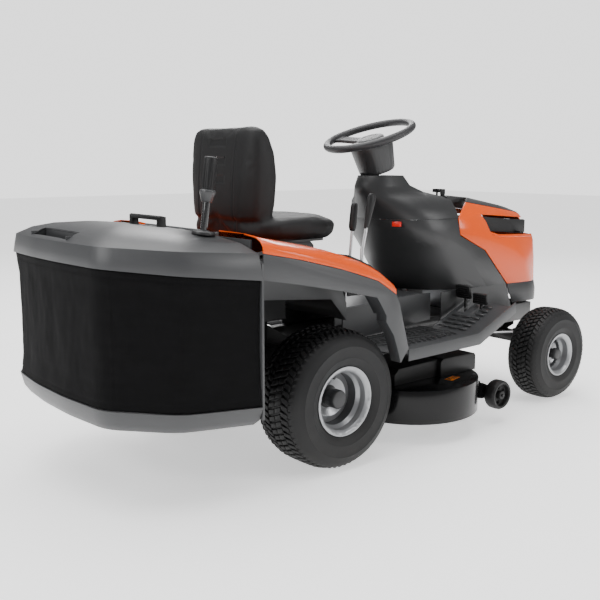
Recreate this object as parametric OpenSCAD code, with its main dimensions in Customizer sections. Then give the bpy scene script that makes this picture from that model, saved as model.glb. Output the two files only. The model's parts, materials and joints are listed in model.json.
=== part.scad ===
// Riding lawn mower with a rear grass collector and a twin-blade deck under the belly.
// X points forward, Y to the driver's left, Z up. Shapes are drawn from the rear axle's line
// on the ground, and place() then moves them so that the origin is under the machine's middle.

/* [Wheels] */
// Distance from rear axle to front axle
wheelbase = 1245; // [1225:5:1285]
// Rear tyre outside diameter
rear_tyre_d = 457; // [440:1:465]
// Rear tyre width
rear_tyre_w = 216; // [190:1:216]
// Width over both rear tyres
rear_span = 928; // [915:1:960]
// Front tyre outside diameter
front_tyre_d = 381; // [360:1:390]
// Front tyre width
front_tyre_w = 152; // [130:1:160]
// Width over both front tyres
front_span = 842; // [830:1:880]
// Rear rim bead seat diameter
rear_rim_d = 203; // [190:1:210]
// Front rim bead seat diameter
front_rim_d = 152; // [140:1:160]
// Rear axle shaft diameter
axle_d = 25.4; // [19:0.1:28]
// Front stub axle diameter
stub_d = 19; // [16:0.1:22]

/* [Frame] */
// Width over the frame rails
rail_span = 300; // [290:1:310]
// Height of a frame rail
rail_h = 75; // [60:1:80]
// Ground to underside of the rails
rail_z = 290; // [285:1:300]
// Sheet thickness of rails and brackets
rail_t = 4; // [3:0.5:6]
// Tow pin hole diameter
hitch_hole_d = 19; // [13:0.5:25]

/* [Body panels] */
// Wall thickness of the plastic mouldings
panel_t = 4; // [3:0.5:5]
// Hood half width at its rear
hood_half_w = 228; // [215:1:240]
// Height of the hood's top at the dash
hood_top_z = 842; // [820:1:870]
// Width over the fenders
fender_span = 936; // [920:1:950]
// Floor height of the footrests
floor_z = 345; // [335:1:360]

/* [Steering] */
// Steering wheel outside diameter
wheel_d = 360; // [330:1:390]
// Steering wheel rim thickness
wheel_rim_d = 28; // [22:1:32]
// Lean of the steering column from upright, in degrees
column_lean = 19; // [17:0.5:21]
// Steering shaft diameter
shaft_d = 19; // [16:0.5:20]
// Steering arm length, kingpin to ball
arm_r = 100; // [95:1:105]

/* [Seat] */
// Seat width
seat_w = 460; // [420:5:480]
// Top of the seat back above the ground
seat_top_z = 1098; // [1050:5:1130]

/* [Cutting deck] */
// Distance between the two blade shafts
blade_spacing = 500; // [480:1:520]
// Blade tip circle radius
blade_r = 240; // [220:1:245]
// Deck skirt radius around each blade
deck_r = 257; // [250:1:260]
// Deck skirt height
deck_h = 120; // [110:1:130]
// Gauge wheel diameter
gauge_d = 112; // [100:1:125]

/* [Collector] */
// Collector width at its mouth
bag_w = 950; // [900:5:960]
// Collector depth, mouth to rear
bag_depth = 445; // [400:5:460]
// Dump handle tube diameter
dump_tube_d = 22; // [18:1:28]

/* [Hidden] */
$fn = 48;

// clearances
run_gap = 0.05;   // radial gap of a shaft that turns in a bore
skin_gap = 4;     // gap between neighbouring moulded panels
face_gap = 0.5;   // gap between faces that pass each other

// wheel places
rear_r = rear_tyre_d / 2;
front_r = front_tyre_d / 2;
rear_y = (rear_span - rear_tyre_w) / 2;
front_y = (front_span - front_tyre_w) / 2;
rail_y = rail_span / 2;
rail_top = rail_z + rail_h;
rail_rear_x = -296;
rail_front_x = 1400;

// steering places: the column passes through wheel_c and leans back
wheel_c = [527, 0, 1081];
lean_tan = tan(column_lean);
sector_z = rail_z + 28;          // underside of the toothed sector
sector_t = 6;
gear_module = 4;
pinion_teeth = 10;
sector_teeth = 60;
pinion_r = pinion_teeth * gear_module / 2;
sector_r = sector_teeth * gear_module / 2;
pinion_x = wheel_c[0] + (wheel_c[2] - sector_z) * lean_tan;
sector_x = pinion_x + sector_r - pinion_r;
pivot_pin_r = 8;
steer_lock = 35;
pitman_z = sector_z - 22;
ball_r = 7;
rod_r = 6;
kingpin_r = 9;
kingpin_y = front_y - front_tyre_w / 2 - 12;
kingpin_top = 296;
rod_z = 276;                      // centre line of the tie rods, between the drive belt and the rails
eye_t = 5.5;
axle_pin_z = 238;

// column cover and dash tower
neck_r = 72;
neck_z = 930;

// hood hinge
hood_pivot = [1385, 384];
hood_pin_r = 6;

// collector
bag_x = -345;                     // the collector's mouth
bag_pivot = [bag_x, 778];
lid_t = 4;
lid_handle_z = 785;
handle_x = -452;
handle_y = -300;

// deck
deck_x = 505;
deck_z = 80;
deck_top = deck_z + deck_h;
deck_t = 3;
blade_y = blade_spacing / 2;
blade_shaft_r = 12.5;
deck_pulley_r = 60;
deck_belt_z = 236;
belt_w = 10;
belt_t = 8;
gauge_x = 790;
gauge_y = 445;
gauge_z = 110;
gauge_w = 48;

// engine
engine_x = 1055;
engine_z = rail_top + 6;
crank_r = 12.7;
drive_pulley_r = 50;
drive_belt_z = 252;
transaxle_pulley_r = 60;
idler_x = 232;
idler_y = 92;
idler_r = 14;

// middle of the machine along X
front_end = 1450;
rear_end = bag_x - bag_depth - 2;
mid_x = (front_end + rear_end) / 2;

// ---------- helpers ----------
module place() translate([-mid_x, 0, 0]) children();
module left_side() mirror([0, 1, 0]) children();
module both() { children(); mirror([0, 1, 0]) children(); }
// a cylinder along +Y from y0 to y1
module rod_y(x, y0, y1, z, r) translate([x, y0, z]) rotate([-90, 0, 0]) cylinder(r = r, h = y1 - y0);
module rod_x(x0, x1, y, z, r) translate([x0, y, z]) rotate([0, 90, 0]) cylinder(r = r, h = x1 - x0);
module box(lo, hi) translate(lo) cube(hi - lo);
// an XZ outline given a width along Y, from y0 to y1
module slab_y(pts, y0, y1) translate([0, y1, 0]) rotate([90, 0, 0]) linear_extrude(y1 - y0) polygon(pts);
module column() translate(wheel_c) rotate([0, -column_lean, 0]) children();

function lerp(a, b, t) = a + (b - a) * t;
function bez(a, b, c, n) = [for (i = [0:n]) let (t = i / n) (1 - t) * (1 - t) * a + 2 * t * (1 - t) * b + t * t * c];
function step_from(b, a, d) = b + (a - b) / norm(a - b) * min(d, norm(a - b) * 0.45);
// a path with its inner corners rounded over the distance d
function rounded(p, d, n) = concat([p[0]],
  [for (i = [1:len(p) - 2]) each bez(step_from(p[i], p[i - 1], d), p[i], step_from(p[i], p[i + 1], d), n)],
  [p[len(p) - 1]]);
function flip(v) = [for (i = [len(v) - 1:-1:0]) v[i]];
function mirrored(v) = [for (p = v) [p[0], -p[1], p[2]]];
// a right-hand half path, completed by its mirror image
function whole(v) = concat(v, [for (i = [len(v) - 2:-1:0]) [v[i][0], -v[i][1], v[i][2]]]);
function total(v) = v * [for (x = v) 1];
function mean(v) = [total([for (p = v) p[0]]), total([for (p = v) p[1]]), total([for (p = v) p[2]])] / len(v);
// straight-line reading of a table of [x, value] rows
function at(t, x, i = 0) = i >= len(t) - 2 || x <= t[i + 1][0]
  ? lerp(t[i][1], t[i + 1][1], max(0, min(1, (x - t[i][0]) / (t[i + 1][0] - t[i][0])))) : at(t, x, i + 1);

// a polyhedron whose faces are turned outwards whichever way they were listed
module mesh(points, faces) {
  volume = total([for (f = faces) cross(points[f[0]], points[f[1]]) * points[f[2]]]);
  polyhedron(points, volume > 0 ? [for (f = faces) flip(f)] : faces, convexity = 6);
}
function quad(a, b, c, d) = [[a, b, c], [a, c, d]];
// faces between rings of n points, closed round each ring
function ring_faces(m, n, cyc) = [for (j = [0:m - (cyc ? 1 : 2)], i = [0:n - 1])
  let (k = (j + 1) % m, h = (i + 1) % n) each quad(j * n + i, j * n + h, k * n + h, k * n + i)];
// closed rings joined into a solid, with a fan at each end
module loft(rings) {
  n = len(rings[0]);
  m = len(rings);
  points = concat([for (r = rings) each r], [mean(rings[0]), mean(rings[m - 1])]);
  caps = [for (i = [0:n - 1]) let (h = (i + 1) % n) each [[m * n, h, i],
    [m * n + 1, (m - 1) * n + i, (m - 1) * n + h]]];
  mesh(points, concat(ring_faces(m, n, false), caps));
}
// a hollow with open ends: the rings run up the outside and down the inside
module sleeve(outer, inner) {
  rings = concat(outer, flip(inner));
  mesh([for (r = rings) each r], ring_faces(len(rings), len(rings[0]), true));
}
// an open sheet with thickness: rows of outer points and the matching inner points
module sheet(outer, inner) {
  m = len(outer);
  k = len(outer[0]);
  n = 2 * k;
  points = [for (j = [0:m - 1]) each concat(outer[j], flip(inner[j]))];
  first = [for (i = [0:k - 2]) each quad(i + 1, i, n - 1 - i, n - 2 - i)];
  last = [for (i = [0:k - 2]) let (o = (m - 1) * n) each quad(o + i, o + i + 1, o + n - 2 - i, o + n - 1 - i)];
  mesh(points, concat(ring_faces(m, n, false), first, last));
}

// ---------- wheels ----------
function tyre_half(R, W, rb) = let (H = R - rb) [[rb, W * 0.37], [rb + 0.10 * H, W * 0.42],
  [rb + 0.30 * H, W * 0.485], [rb + 0.50 * H, W * 0.5], [rb + 0.68 * H, W * 0.485],
  [rb + 0.84 * H, W * 0.44], [rb + 0.94 * H, W * 0.37], [rb + 0.985 * H, W * 0.28], [R, W * 0.14]];
module tyre(R, W, rb) {
  t = 11;
  outer = tyre_half(R, W, rb);
  inner = [for (p = outer) [max(rb, p[0] - (p[0] > rb + 1 ? t : 0)), p[1] - t * 0.9]];
  color([0.07, 0.07, 0.075]) rotate([90, 0, 0]) rotate_extrude($fn = 96)
    polygon(concat(outer, [for (p = flip(outer)) [p[0], -p[1]]], [for (p = inner) [p[0], -p[1]]], flip(inner)));
}
// pressed steel rim: barrel, drop centre and dished disc; outward is +Z here
module rim(rb, W, disc_a, hub_r, bore_r, hub_a0, hub_a1) {
  t = 3;
  f = W / 2;
  color([0.62, 0.63, 0.65]) rotate([90, 0, 0]) difference() {
    rotate_extrude($fn = 96) {
      polygon([[rb + 12, f + 2], [rb + 12, f - 1], [rb + 3, f - 4], [rb - face_gap, f - 10],
        [rb - face_gap, f - 32], [rb - 13, f - 44], [rb - 13, -f + 44], [rb - face_gap, -f + 32],
        [rb - face_gap, -f + 10], [rb + 3, -f + 4], [rb + 12, -f + 1], [rb + 12, -f - 2],
        [rb + 2, -f], [rb - 3 - t, -f + 8], [rb - 3 - t, -f + 32], [rb - 13 - t, -f + 44],
        [rb - 13 - t, f - 44], [rb - 3 - t, f - 32], [rb - 3 - t, f - 8], [rb + 2, f]]);
      polygon([[hub_r, disc_a - 8], [hub_r + 12, disc_a - 8], [rb * 0.62, disc_a + 6], [rb - 16, disc_a - 4],
        [rb - 13, disc_a - 4], [rb - 13, disc_a], [rb * 0.62, disc_a + 11], [hub_r + 12, disc_a - 3],
        [hub_r, disc_a - 3]]);
      polygon([[bore_r, hub_a0], [hub_r, hub_a0], [hub_r, hub_a1], [bore_r, hub_a1]]);
    }
    // valve hole in the disc
    translate([0, rb * 0.66, disc_a - 30]) cylinder(r = 6, h = 60);
  }
  // valve stem
  color([0.05, 0.05, 0.05]) rotate([90, 0, 0]) translate([0, rb * 0.66, disc_a - 6]) cylinder(r = 5.6, h = 34);
}
module hub_cap(r, a0, a1) color([0.16, 0.16, 0.17]) rotate([90, 0, 0]) rotate_extrude($fn = 48)
  polygon([[0, a0], [r, a0], [r, a1 - 8], [r - 3, a1 - 2], [r - 8, a1], [0, a1]]);
module rear_wheel_at() translate([0, -rear_y, rear_r]) children();
module front_wheel_at() translate([wheelbase, -front_y, front_r]) children();
rear_rim_w = 184;
front_rim_w = 132;
rear_disc_a = 12;
front_disc_a = 8;
rear_hub_r = 26;
front_hub_r = 20;
module rear_rim() rear_wheel_at() {
  rim(rear_rim_d / 2, rear_rim_w, rear_disc_a, rear_hub_r, axle_d / 2, -66, rear_disc_a + 14);
  hub_cap(rear_hub_r + 5, rear_disc_a + 14, rear_disc_a + 56);
  // axle shaft, which turns with the wheel
  rotate([90, 0, 0]) translate([0, 0, -(rear_y - 60)]) cylinder(r = axle_d / 2, h = rear_y - 60 + rear_disc_a + 14);
}
module rear_tyre() rear_wheel_at() tyre(rear_r, rear_tyre_w, rear_rim_d / 2);
module front_rim() front_wheel_at() {
  rim(front_rim_d / 2, front_rim_w, front_disc_a, front_hub_r, stub_d / 2 + run_gap, -50, front_disc_a + 30);
  hub_cap(front_hub_r + 4, front_disc_a + 30.5, front_disc_a + 52);
}
module front_tyre() front_wheel_at() tyre(front_r, front_tyre_w, front_rim_d / 2);

// ---------- frame ----------
module rail() {
  difference() {
    box([rail_rear_x, -rail_y, rail_z], [rail_front_x, -rail_y + 38, rail_top]);
    box([rail_rear_x - 1, -rail_y + rail_t, rail_z + rail_t], [rail_front_x + 1, -rail_y + 39, rail_top - rail_t]);
  }
}
// U bracket that carries the front axle's pin, and the hood's hinge ears
module axle_cradle() {
  for (x = [wheelbase - 42, wheelbase + 36]) difference() {
    box([x, -rail_y + rail_t, axle_pin_z - 30], [x + 6, rail_y - rail_t, rail_z]);
    rod_x(x - 1, x + 7, 0, axle_pin_z, 10);
    both() slab_x_corner(x);
  }
  rod_x(wheelbase - 48, wheelbase + 48, 0, axle_pin_z, 10);
}
module slab_x_corner(x) translate([x - 1, 0, 0]) rotate([90, 0, 90]) linear_extrude(8)
  polygon([[-rail_y, axle_pin_z - 40], [-40, axle_pin_z - 40], [-rail_y + 4, rail_z - 14]]);
module hood_ears() both() {
  difference() {
    box([1360, -128, rail_z + 10], [1398, -122, hood_pivot[1] + 14]);
    rod_y(hood_pivot[0], -130, -120, hood_pivot[1], hood_pin_r);
  }
  rod_y(hood_pivot[0], -140, -122, hood_pivot[1], hood_pin_r);
}
module frame() color([0.13, 0.13, 0.14]) {
  difference() {
    union() {
      both() rail();
      // front, steering and engine plates, and the rear cross member
      box([rail_front_x - rail_t, -rail_y, rail_z], [rail_front_x, rail_y, rail_top]);
      box([sector_x - 190, -rail_y + 1, rail_top], [sector_x + 46, rail_y - 1, rail_top + 6]);
      box([engine_x - 110, -rail_y + 1, rail_top], [engine_x + 160, rail_y - 1, rail_top + 6]);
      for (x = [-260, -140]) box([x, -rail_y + 1, rail_z], [x + 40, rail_y - 1, rail_z + rail_t]);
      // arms that carry the footrests
      both() for (x = [300, 560]) box([x, -440, floor_under(x) - 8], [x + 30, -rail_y + 1, floor_under(x)]);
      // pedal shafts stand out from the rails
      rod_y(pedal_x, -360, -rail_y + 4, pedal_z, pedal_shaft_r);
      rod_y(pedal_x, rail_y - 4, 310, pedal_z, pedal_shaft_r);
      // sector pivot pin hangs from the steering plate
      translate([sector_x, 0, pitman_z - 4]) cylinder(r = pivot_pin_r, h = rail_top - pitman_z + 8);
      axle_cradle();
      hood_ears();
      // bracket foot between the ears
      box([1356, -128, rail_z + 10], [1360, 128, rail_top]);
    }
    // steering shaft hole and crankshaft hole
    column() translate([0, 0, -1000]) cylinder(r = shaft_d / 2 + 3, h = 900);
    translate([engine_x, 0, rail_top - 1]) cylinder(r = crank_r + 12, h = 9);
  }
  // idlers that spread the drive belt round the tunnel
  both() translate([idler_x, -idler_y, drive_belt_z + 2]) difference() {
    cylinder(r = idler_r - 0.4, h = belt_w + 4);
    cylinder(r = 5, h = belt_w + 4);
  }
  both() translate([idler_x, -idler_y, drive_belt_z - 2]) cylinder(r = 5, h = rail_z - drive_belt_z + 2);
  both() box([idler_x - 14, -rail_y + 2, rail_z], [idler_x + 14, -idler_y + 12, rail_z + 4]);
}
hitch_z = 300;
hitch_x = -318;
module rear_plate() color([0.13, 0.13, 0.14]) difference() {
  union() {
    // upright plate with the collector's pivot posts
    difference() {
      box([-301, -210, 262], [-296.3, 210, 640]);
      box([-310, -106, 349], [-290, 106, 557]);
    }
    both() box([-324, -200, 560], [-300, -192, 770]);
    both() box([-301, -239.7, 600], [-285, -199, 640]);
    both() box([-334, -200, 735], [-302, -192, 770]);
    box([-335, -45, hitch_z - 8], [-300, 45, hitch_z]);
    both() slab_y([[-300, hitch_z - 8], [-332, hitch_z - 8], [-300, 262]], -45, -41);
  }
  translate([hitch_x, 0, hitch_z - 20]) cylinder(r = hitch_hole_d / 2, h = 40);
}
module transaxle() color([0.55, 0.56, 0.58]) difference() {
  union() {
    translate([-80, -95, 150]) cube([156, 190, 100]);
    rod_y(0, -110, 110, 199, 50);
    rod_y(0, -215, 215, rear_r, 22);
    // input shaft, pulley and cooling fan
    translate([-20, 0, 245]) cylinder(r = 9, h = 36);
    translate([-20, 0, drive_belt_z]) cylinder(r = transaxle_pulley_r - 0.4, h = belt_w + 1);
    // lugs that bolt to the rails
    both() box([-60, -140, 200], [50, -100, rail_z]);
  }
  translate([0, 240, rear_r]) rotate([90, 0, 0]) cylinder(r = axle_d / 2 + run_gap, h = 190);
  translate([0, -50, rear_r]) rotate([90, 0, 0]) cylinder(r = axle_d / 2 + run_gap, h = 190);
}
// ---------- engine and its neighbours ----------
module engine_block() {
  color([0.5, 0.51, 0.52]) union() {
    translate([engine_x - 95, -100, engine_z]) cube([190, 200, 110]);
    translate([engine_x + 60, -70, engine_z + 20]) cube([130, 140, 110]);
    // cooling fins round the cylinder
    for (i = [0:5]) box([engine_x + 96 + i * 15, -82, engine_z + 10], [engine_x + 101 + i * 15, 82, engine_z + 130]);
    translate([engine_x, 0, engine_z + 109]) cylinder(r = 55, h = 21);
    // crankshaft with its two pulleys
    translate([engine_x, 0, deck_belt_z - 6]) cylinder(r = crank_r, h = engine_z - deck_belt_z + 7);
    translate([engine_x, 0, drive_belt_z]) cylinder(r = drive_pulley_r - 0.4, h = belt_w + 1);
    translate([engine_x, 0, deck_belt_z]) cylinder(r = drive_pulley_r + 4.6, h = belt_w + 1);
    translate([engine_x, 0, drive_belt_z + 20]) cylinder(r = 58, h = 42);
  }
  // muffler beside the cylinder
  color([0.3, 0.3, 0.3]) translate([engine_x + 245, -90, engine_z + 70]) rotate([-90, 0, 0]) cylinder(r = 44, h = 180);
  color([0.3, 0.3, 0.3]) rod_x(engine_x + 190.5, engine_x + 206, 40, engine_z + 80, 12);
}
module engine_shroud() color([0.1, 0.1, 0.11]) {
  translate([engine_x, 0, engine_z + 130]) difference() {
    union() {
      rotate_extrude($fn = 72) polygon([[0, 0], [150, 0], [150, 60], [140, 92], [110, 108], [0, 108]]);
      translate([60, -75, 22]) cube([120, 150, 80]);
    }
    // fan chamber under the intake screen
    translate([0, 0, 10]) cylinder(r = 95, h = 88);
    for (a = [0:24:359]) rotate(a) translate([40, -5, 90]) cube([50, 10, 30]);
  }
  // air filter housing
  translate([engine_x - 60, 40, engine_z + 238]) cube([150, 60, 62]);
}
module fuel_tank() {
  color([0.85, 0.85, 0.82]) difference() {
    box([-250, -234, 480], [-72, -126, 620]);
    box([-246, -230, 484], [-76, -130, 616]);
    translate([-160, -180, 600]) cylinder(r = 22, h = 40);
  }
  color([0.1, 0.1, 0.1]) translate([-160, -180, 605]) {
    cylinder(r = 21.5, h = 16);
    translate([0, 0, 15]) cylinder(r = 30, h = 18);
  }
  // tank tray on the frame
  color([0.13, 0.13, 0.14]) box([-252, -236, 474], [-71, -124, 480]);
  color([0.13, 0.13, 0.14]) for (x = [-240, -90]) box([x, -146, rail_top], [x + 10, -141, 475]);
}
module battery() {
  color([0.12, 0.12, 0.13]) box([-70, 10, 474.5], [110, 132, 630]);
  color([0.75, 0.2, 0.1]) for (y = [40, 104]) translate([90, y, 629]) cylinder(r = 9, h = 14);
  color([0.13, 0.13, 0.14]) box([-80, -10, 469], [120, 145, 474]);
  color([0.13, 0.13, 0.14]) for (x = [-70, 100]) box([x, 138, rail_top], [x + 10, 143, 470]);
}
module belt_loop(pulleys, z, w, t) translate([0, 0, z]) linear_extrude(w) difference() {
  hull() for (p = pulleys) translate([p[0], p[1]]) circle(r = p[2] + t);
  hull() for (p = pulleys) translate([p[0], p[1]]) circle(r = p[2]);
}
module drive_belt() color([0.06, 0.06, 0.06])
  belt_loop([[engine_x, 0, drive_pulley_r], [idler_x, idler_y, idler_r], [idler_x, -idler_y, idler_r],
    [-20, 0, transaxle_pulley_r]], drive_belt_z + 1, belt_w - 1, belt_t);
module deck_belt() color([0.06, 0.06, 0.06])
  belt_loop([[engine_x, 0, drive_pulley_r + 5], [deck_x, blade_y, deck_pulley_r], [deck_x, -blade_y, deck_pulley_r]],
    deck_belt_z + 1, belt_w - 1, belt_t);
// grass tunnel from the deck's rear to the collector's mouth
tunnel_w = 76;
function tunnel_ring(x, z0, z1, w) = [[x, -w, z0], [x, w, z0], [x, w, z1], [x, -w, z1]];
module discharge_tunnel() color([0.12, 0.12, 0.13]) {
  stations = [[236, 92, 226, tunnel_w], [90, 232, 352, tunnel_w], [60, 290, 372, tunnel_w],
    [-60, 330, 440, 100], [-296, 346, 560, 108]];
  sleeve([for (s = stations) tunnel_ring(s[0], s[1], s[2], s[3])],
    [for (s = stations) tunnel_ring(s[0], s[1] + 3, s[2] - 3, s[3] - 3)]);
}
// ---------- dash ----------
// plan section of the dash at height z: narrow at the rear, full width from the middle on
function dash_row(z, xr, xf, w, t = 0) = whole([for (p = [[1, 1], [0.72, 1], [0.46, 0.97], [0.3, 0.87],
  [0.17, 0.68], [0.07, 0.44], [0.015, 0.2], [0, 0]]) [max(lerp(xr, xf, p[0]), xr + t), min(0, -p[1] * w + t), z]]);
console_z = 765;
dash_rows = [[console_z, 520, 812, 212], [800, 508, 812, 196], [832, 494, 812, 172], [848, 486, 790, 140],
  [866, 476, 724, 104], [892, 474, 668, 84], [neck_z, 492, 640, 74]];
module dash_tower() color([0.2, 0.2, 0.21]) difference() {
  union() {
    sleeve([for (r = dash_rows) dash_row(r[0], r[1], r[2], r[3])],
      [for (r = dash_rows) dash_row(r[0], r[1], r[2] - panel_t, r[3], panel_t)]);
    // console plate that runs on to the hood seam
    difference() {
      linear_extrude(848) console_plan(0);
      slab_y([[800, -1], [800, 816], [960, 826], [960, -1]], -300, 300);
      slab_y([[800, 847], [960, 839], [960, 900], [800, 900]], -300, 300);
      difference() {
        linear_extrude(848) console_plan(panel_t);
        slab_y([[800, 843], [960, 835], [960, 900], [800, 900]], -300, 300);
      }
    }
    throttle_ears();
  }
  translate([key_p[0], key_p[1], 780]) cylinder(r = key_r + run_gap, h = 100);
  box([throttle_p[0] - 26, throttle_p[1] - 5, 825], [throttle_p[0] + 26, throttle_p[1] + 5, 880]);
}
// ears and pin under the console for the throttle lever
module throttle_ears() {
  for (k = [-1, 1]) box([throttle_p[0] - 12, throttle_p[1] + k * 9 - 2, throttle_z - 8],
    [throttle_p[0] + 12, throttle_p[1] + k * 9 + 2, 837]);
  rod_y(throttle_p[0], throttle_p[1] - 10, throttle_p[1] + 10, throttle_z, throttle_pin_r);
}
module console_plan(t) polygon([[812.3 + t, -150 + t], [950 - t, -118 + t], [950 - t, 118 - t], [812.3 + t, 150 - t]]);
// side covers: one moulding from the hood seam round the column's rear to the other seam
side_front = [[372, 1158], [400, 1148], [480, 1110], [630, 958], [697, 804], [console_z, 804]];
side_rear = [[372, 690], [482, 660], [591, 592], [660, 562], [console_z, 520]];
side_w = [[372, 224], [482, 226], [591, 229], [697, 229], [730, 222], [console_z, 212]];
side_zs = [482.3, 540, 591, 630, 660, 697, 730, console_z - 0.3];
function side_row(z, t) = dash_row(z, at(side_rear, z), at(side_front, z), at(side_w, z), t);
module dash_side_panels() color([0.17, 0.17, 0.18]) difference() {
  union() {
    sheet([for (z = side_zs) side_row(z, 0)], [for (z = side_zs) side_row(z, panel_t)]);
    // lower skirts beside the footrest ramps
    both() slab_y([[706, 372], [706, 484], [1106, 484], [1144, 400], [1154, 372]], -226, -222);
  }
  tab_block(0.3);
}
module column_cover() color([0.22, 0.22, 0.23]) column() {
  difference() {
    translate([0, 0, -142]) rotate_extrude() polygon([[shaft_d / 2 + 2, 0], [66, 0], [70, 8], [82, 96],
      [82, 112], [44, 118], [shaft_d / 2 + 2, 118]]);
    translate([0, 0, -136]) rotate_extrude() polygon([[shaft_d / 2 + 8, 0], [60, 0], [76, 96], [76, 104],
      [40, 108], [shaft_d / 2 + 8, 108]]);
  }
}
// ---------- footrests and fenders ----------
foot_half = fender_span / 2 - 3;
module footrest() color([0.4, 0.41, 0.42]) {
  t = panel_t;
  z = floor_z;
  both() difference() {
    union() {
      // floor, ramp beside the dash, and outer lip
      slab_y([[236, z - t], [640, z + 8 - t], [640, z + 8], [236, z]], -foot_half, -176);
      slab_y([[639, z + 8 - t], [846, z + 96 - t], [850, z + 96], [639, z + 8]], -foot_half, -234);
      slab_y([[leg_front + 0.3, z - 22], [644, z + 4 - 22], [852, z + 76], [848, z + 116], [634, z + 24], [leg_front + 0.3, z + 16]],
        -foot_half - t, -foot_half);
      // wall up to the tunnel's top
      slab_y([[236, z], [700, z + 26], [700, z + 132], [640, z + 134], [500, z + 128], [236, z + 119]], -176, -172);
    }
    // room for the fender's leg
    box([200, -foot_half - 10, 300], [leg_front + 0.3, -foot_half + 43.3, 400]);
    // pedal slots
    for (p = [forward_pedal_p, reverse_pedal_p]) box([pedal_x - 40, p[1] - 8, 300], [pedal_x + 60, p[1] + 8, 500]);
    mirror([0, 1, 0]) box([pedal_x - 40, brake_pedal_p[1] - 8, 300], [pedal_x + 60, brake_pedal_p[1] + 8, 500]);
  }
  // tunnel over the frame rails
  difference() {
    slab_y([[200, z + 60], [520, z + 90], [640, z + 96], [640, z + 136], [500, z + 130], [200, z + 120]], -172, 172);
    slab_y([[190, z + 50], [520, z + 80], [650, z + 84], [650, z + 128], [500, z + 126], [190, z + 116]], -168, 168);
    column() translate([0, 0, -760]) cylinder(r = shaft_d / 2 + 6, h = 300);
  }
}
leg_front = 268;
function floor_under(x) = floor_z - panel_t + 8 * (x - 236) / 404 - 0.1;
band_top = [[-340, 727], [-205, 700], [-26, 655], [117, 609], [168, 579]];
band_low = [[-340, 651], [-205, 626], [-26, 588], [119, 554], [168, 478]];
band_xs = [-337, -270, -205, -115, -26, 45, 85, 117, 140, 160];
fh = fender_span / 2;
module fender_base() color([0.42, 0.43, 0.44]) {
  t = panel_t;
  both() {
    // side band over the wheel, and its inner return
    slab_y(concat([for (x = band_xs) [x, at(band_low, x)]], [for (x = flip(band_xs)) [x, at(band_top, x) - 1]]), -fh, -fh + t);
    slab_y(concat([for (x = band_xs) [x, at(band_low, x)]], [for (x = flip(band_xs)) [x, at(band_low, x) + t]]), -fh + t, -fh + 60);
    // front leg down to the footrest
    slab_y([[160, 470], [160, 583], [196, 560.5], [206, 553], [222, 520], [leg_front, floor_z + 18], [262, floor_z + 16.5],
      [231, floor_z - 22], [214, 372], [196, 420]], -fh, -fh + 46);
  }
  // wheel arch roof, inner wall and the panel below the seat's front
  both() difference() {
    slab_y(concat([for (x = band_xs) [x, at(band_top, x) - 16]], [for (x = flip(band_xs)) [x, at(band_top, x) - 12]]),
      -fh + 1, -240);
    box([50, -402.3, 500], [300, -200, 800]);
  }
  both() slab_y([[-300, 560], [-300, 707], [-205, 686], [-26, 642], [117, 596], [160, 570], [190, 500], [190, 440], [120, 520]],
    -244, -240);
  box([186, -240, 440], [190, 240, 560]);
}
// orange cover: rows along X of a section from side to side
cover_xs = [-337, -270, -200, -120, -40, 30, 80, 120, 150, 180, 205];
cover_top = [[-340, 780], [-262, 760], [-68, 722], [37, 692], [100, 668], [150, 645], [205, 604]];
cover_low = [[-340, 728], [-205, 701], [-26, 656], [117, 610], [168, 580], [205, 556]];
function cover_row(x, t) = let (zt = at(cover_top, x), zb = at(cover_low, x), h = zt - zb)
  whole([[x, -fh + t, zb], [x, -fh + t + 2, zb + h * 0.35], [x, -fh + t + 14, zb + h * 0.62], [x, -fh + t + 40, zb + h * 0.85 - t * 0.6],
    [x, -fh + 90, zt - h * 0.03 - t], [x, -fh + 150, zt - t], [x, -246, zt - t], [x, -236, min(zt - 16, recess_z + 4) - t], [x, -120, min(zt - 20, recess_z) - t],
    [x, 0, min(zt - 20, recess_z) - t]]);
recess_z = 702;
console_cut = [[52, 700], [52, 560], [300, 560], [300, 760], [52, 760]];
module fender_cover() color([0.93, 0.33, 0.08]) difference() {
  sheet([for (x = cover_xs) cover_row(x, 0)], [for (x = cover_xs) cover_row(x, panel_t)]);
  slab_y(console_cut, -402, 402);
  both() box([-345, -206, 640], [-298, -186, 800]);
}
// black lever console set into the cover's front
con_top = [[52.3, 690], [100, 672], [150, 650], [205, 612], [226, 590]];
lever_x = 150;
lever_z = 560;
height_y = -290;
blade_lever_y = -355;
lever_pin_r = 6;
module lever_console() color([0.09, 0.09, 0.1]) difference() {
  union() {
    slab_y(concat([for (p = con_top) p], [for (p = flip(con_top)) [p[0], p[1] - panel_t]]), -401.7, 401.7);
    for (y = [-401.7, 397.7]) slab_y([[52.3, 688], [100, 670], [150, 648], [205, 610], [205, 560], [52.3, 560]], y, y + 4);
    slab_y([[120, 540], [180, 540], [180, 632], [120, 660]], -325, -320);
    rod_y(lever_x, -377, -268, lever_z, lever_pin_r);
  }
  for (y = [height_y, blade_lever_y]) box([82, y - 9, 590], [236, y + 9, 700]);
}
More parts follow.
